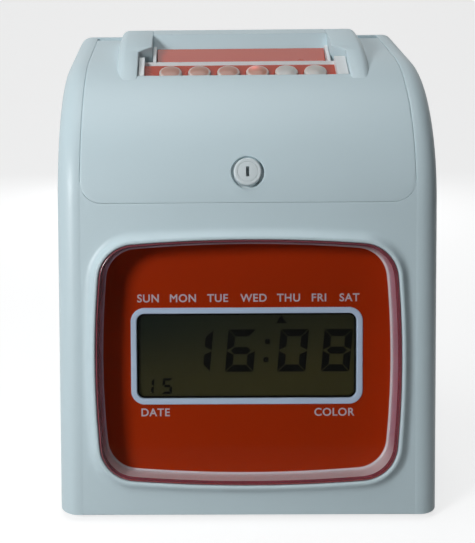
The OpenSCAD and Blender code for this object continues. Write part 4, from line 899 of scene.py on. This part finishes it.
def key_finish_of(name, tone, glow, spot=0.0):
    """Key plastic with a painted highlight on its rim and the red spot of a lit lamp. The light given off is the glow
    plus the spot's strength times its share; the shares of rim highlight and spot are attributes."""
    made = moulded_finish(name, tone, 0.3, coat=0.2)
    # Painted highlight: a paler tone blended over the key's rim
    blend_tone(made, share_of(made, "rim"), RIM_HIGHLIGHT_TONE)
    light = math_node(made.node_tree, "MULTIPLY_ADD", {1: spot, 2: glow}, {0: share_of(made, "lit")})
    set_node(made.node_tree, made.node_tree.nodes["Principled BSDF"],
             {"Subsurface Weight": 0.25, "Subsurface Radius": (1.0, 0.35, 0.2), "Subsurface Scale": 0.002,
              "Emission Color": (0.9, 0.17, 0.16, 1.0)}, {"Emission Strength": light})
    return made


tinted_finish = key_finish_of("key_tinted", (0.43, 0.20, 0.145), 0.0)
glowing_finish = key_finish_of("key_lit", (0.43, 0.19, 0.13), 0.02, spot=0.55)
white_finish = key_finish_of("key_white", (0.50, 0.48, 0.46), 0.0)
for number in range(1, 7):
    key_place = PANEL_SPOT + ((number - 3.5) * KEY_PITCH, 0.0, 0.0)
    key_finish = white_finish if number > 4 else glowing_finish if number == 4 else tinted_finish
    key_piece = add_piece("key_cap_%d" % number, *stand(lathe(key_profile()), key_place, PANEL_TILT), key_finish)
    key_x, key_up = (leaning(PANEL_TILT) @ (spots_of(key_piece) - key_place).T)[:2]
    # Share of the painted rim highlight, growing towards the key's edge
    mark(key_piece, "rim", np.clip((np.hypot(key_x, key_up) - RIM_HIGHLIGHT_FROM) / RIM_HIGHLIGHT_FADE, 0.0, 1.0))
    mark(key_piece, "lit", np.exp(-((key_x - LIT_X) ** 2 + (key_up - LIT_UP) ** 2) / (2.0 * LIT_SPREAD ** 2)))
    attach(key_piece, "key_%d" % number)
    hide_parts("button_%d" % number)

# Card path and feet
# A white front guide with its bar, the orange rear guide and key strip, and black rubber feet under the base.
# Moulded pieces have small rounds on their edges, so each is a merged copy of its CAD mesh with a bevel.
GUIDE_SOFT, STRIP_SOFT, BEVEL_STEPS, FLAT_UP_TO = 0.35, 0.3, 3, math.radians(0.5)
BAR_END, BAR_DROP, BAR_NEAR = 50.5, 1.2, 0.02


def soft_copy(name, body, material, width):
    """Merged copy of a CAD mesh with flat regions joined and a small bevel on its edges."""
    mesh = node[name].data.copy()
    mesh.transform(node[name].matrix_world)
    work = bmesh.new()
    work.from_mesh(mesh)
    bmesh.ops.remove_doubles(work, verts=work.verts, dist=MERGE)
    bmesh.ops.dissolve_limit(work, angle_limit=FLAT_UP_TO, verts=work.verts, edges=work.edges)
    work.to_mesh(mesh)
    work.free()
    mesh.materials.clear()
    mesh.materials.append(material)
    smooth(mesh)
    made = show(name + "_soft", mesh)
    bevel = made.modifiers.new("edge", "BEVEL")
    bevel.width = width * MM
    bevel.segments = BEVEL_STEPS
    bevel.limit_method = "ANGLE"
    bevel.angle_limit = SMOOTH_UP_TO
    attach(made, body)
    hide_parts(name)
    return made


bar_finish = moulded_finish("guide_white", (0.77, 0.80, 0.81), 0.35, cloud=0.03, grain_depth=0.04)
guide_piece = soft_copy("card_guide_front", "case", bar_finish, GUIDE_SOFT)
# The bar before the slot is lower than its ends
guide_spots = spots_of(guide_piece)
guide_rise = guide_spots @ FACE_UP
bar_top = guide_rise[np.abs(np.abs(guide_spots[:, 0]) - BAR_END) < BAR_NEAR].max()
guide_spots[np.abs(guide_rise - bar_top) < BAR_NEAR] -= BAR_DROP * FACE_UP
guide_piece.data.vertices.foreach_set("co", (guide_spots * MM).ravel())
guide_piece.data.update()
soft_copy("card_guide_rear", "case", orange_finish, GUIDE_SOFT)
soft_copy("key_panel", "case", orange_finish, STRIP_SOFT)
give(moulded_finish("rubber", (0.018, 0.018, 0.02), 0.8, cloud=0.2, grain_depth=0.3), "rubber_feet")

# Metal pieces
# Ground rods and pins, plated sheet frames, and turned brass.
# The frames stand on the base by their flanges, and rods and shafts run through bores in them.
give(moulded_finish("steel", (0.60, 0.61, 0.63), 0.28, cloud=0.15, grain_size=5000.0, grain_depth=0.05, metal=1.0),
     "hinge_pins", "lock_nut", "lock_cam", "tie_rods", "carriage_rod", "guide_rod", "feed_shaft", "pinch_axle",
     "case_screws", "board_screws")
give(moulded_finish("sheet_steel", (0.52, 0.54, 0.54), 0.4, cloud=0.35, grain_size=900.0, grain_depth=0.05, metal=1.0),
     "side_frame_left", "side_frame_right", "carriage_beam", "transformer", "card_stop")
give(moulded_finish("head_metal", (0.28, 0.29, 0.30), 0.4, cloud=0.2, metal=1.0), "print_head")
give(moulded_finish("motor_can", (0.34, 0.35, 0.36), 0.35, cloud=0.2, metal=1.0), "carriage_motor", "feed_motor")
give(moulded_finish("pinion_brass", (0.62, 0.44, 0.18), 0.3, cloud=0.15, metal=1.0), "motor_pinion")

# Print unit and boards
# Nylon pulleys and gears, rubber rollers and belt, the inked ribbon in its cartridge, and green boards.
# The print unit hangs between the side frames, and the boards are screwed to posts.
give(moulded_finish("nylon", (0.66, 0.63, 0.54), 0.5, cloud=0.08, grain_depth=0.05),
     "drive_pulley", "idler_pulley", "feed_gear")
give(moulded_finish("black_plastic", (0.02, 0.021, 0.023), 0.42, cloud=0.15, grain_depth=0.12),
     "print_carriage", "ribbon_cartridge", "ribbon_knob", "buzzer", "power_inlet", "card_sensor")
give(moulded_finish("roller_rubber", (0.025, 0.025, 0.027), 0.7, cloud=0.2, grain_depth=0.2),
     "drive_belt", "feed_rollers", "pinch_rollers", "platen")
give(moulded_finish("ribbon_fabric", (0.012, 0.011, 0.025), 0.8, cloud=0.3, grain_size=7000.0, grain_depth=0.4),
     "ink_ribbon")
give(moulded_finish("circuit_board", (0.012, 0.085, 0.03), 0.35, cloud=0.5, grain_size=600.0, grain_depth=0.06),
     "main_board", "display_board", "key_board")
give(moulded_finish("battery_sleeve", (0.03, 0.10, 0.28), 0.4, cloud=0.1), "backup_battery")
give(key_finish_of("lamp_red", (0.5, 0.02, 0.01), 0.4), "column_lamps")
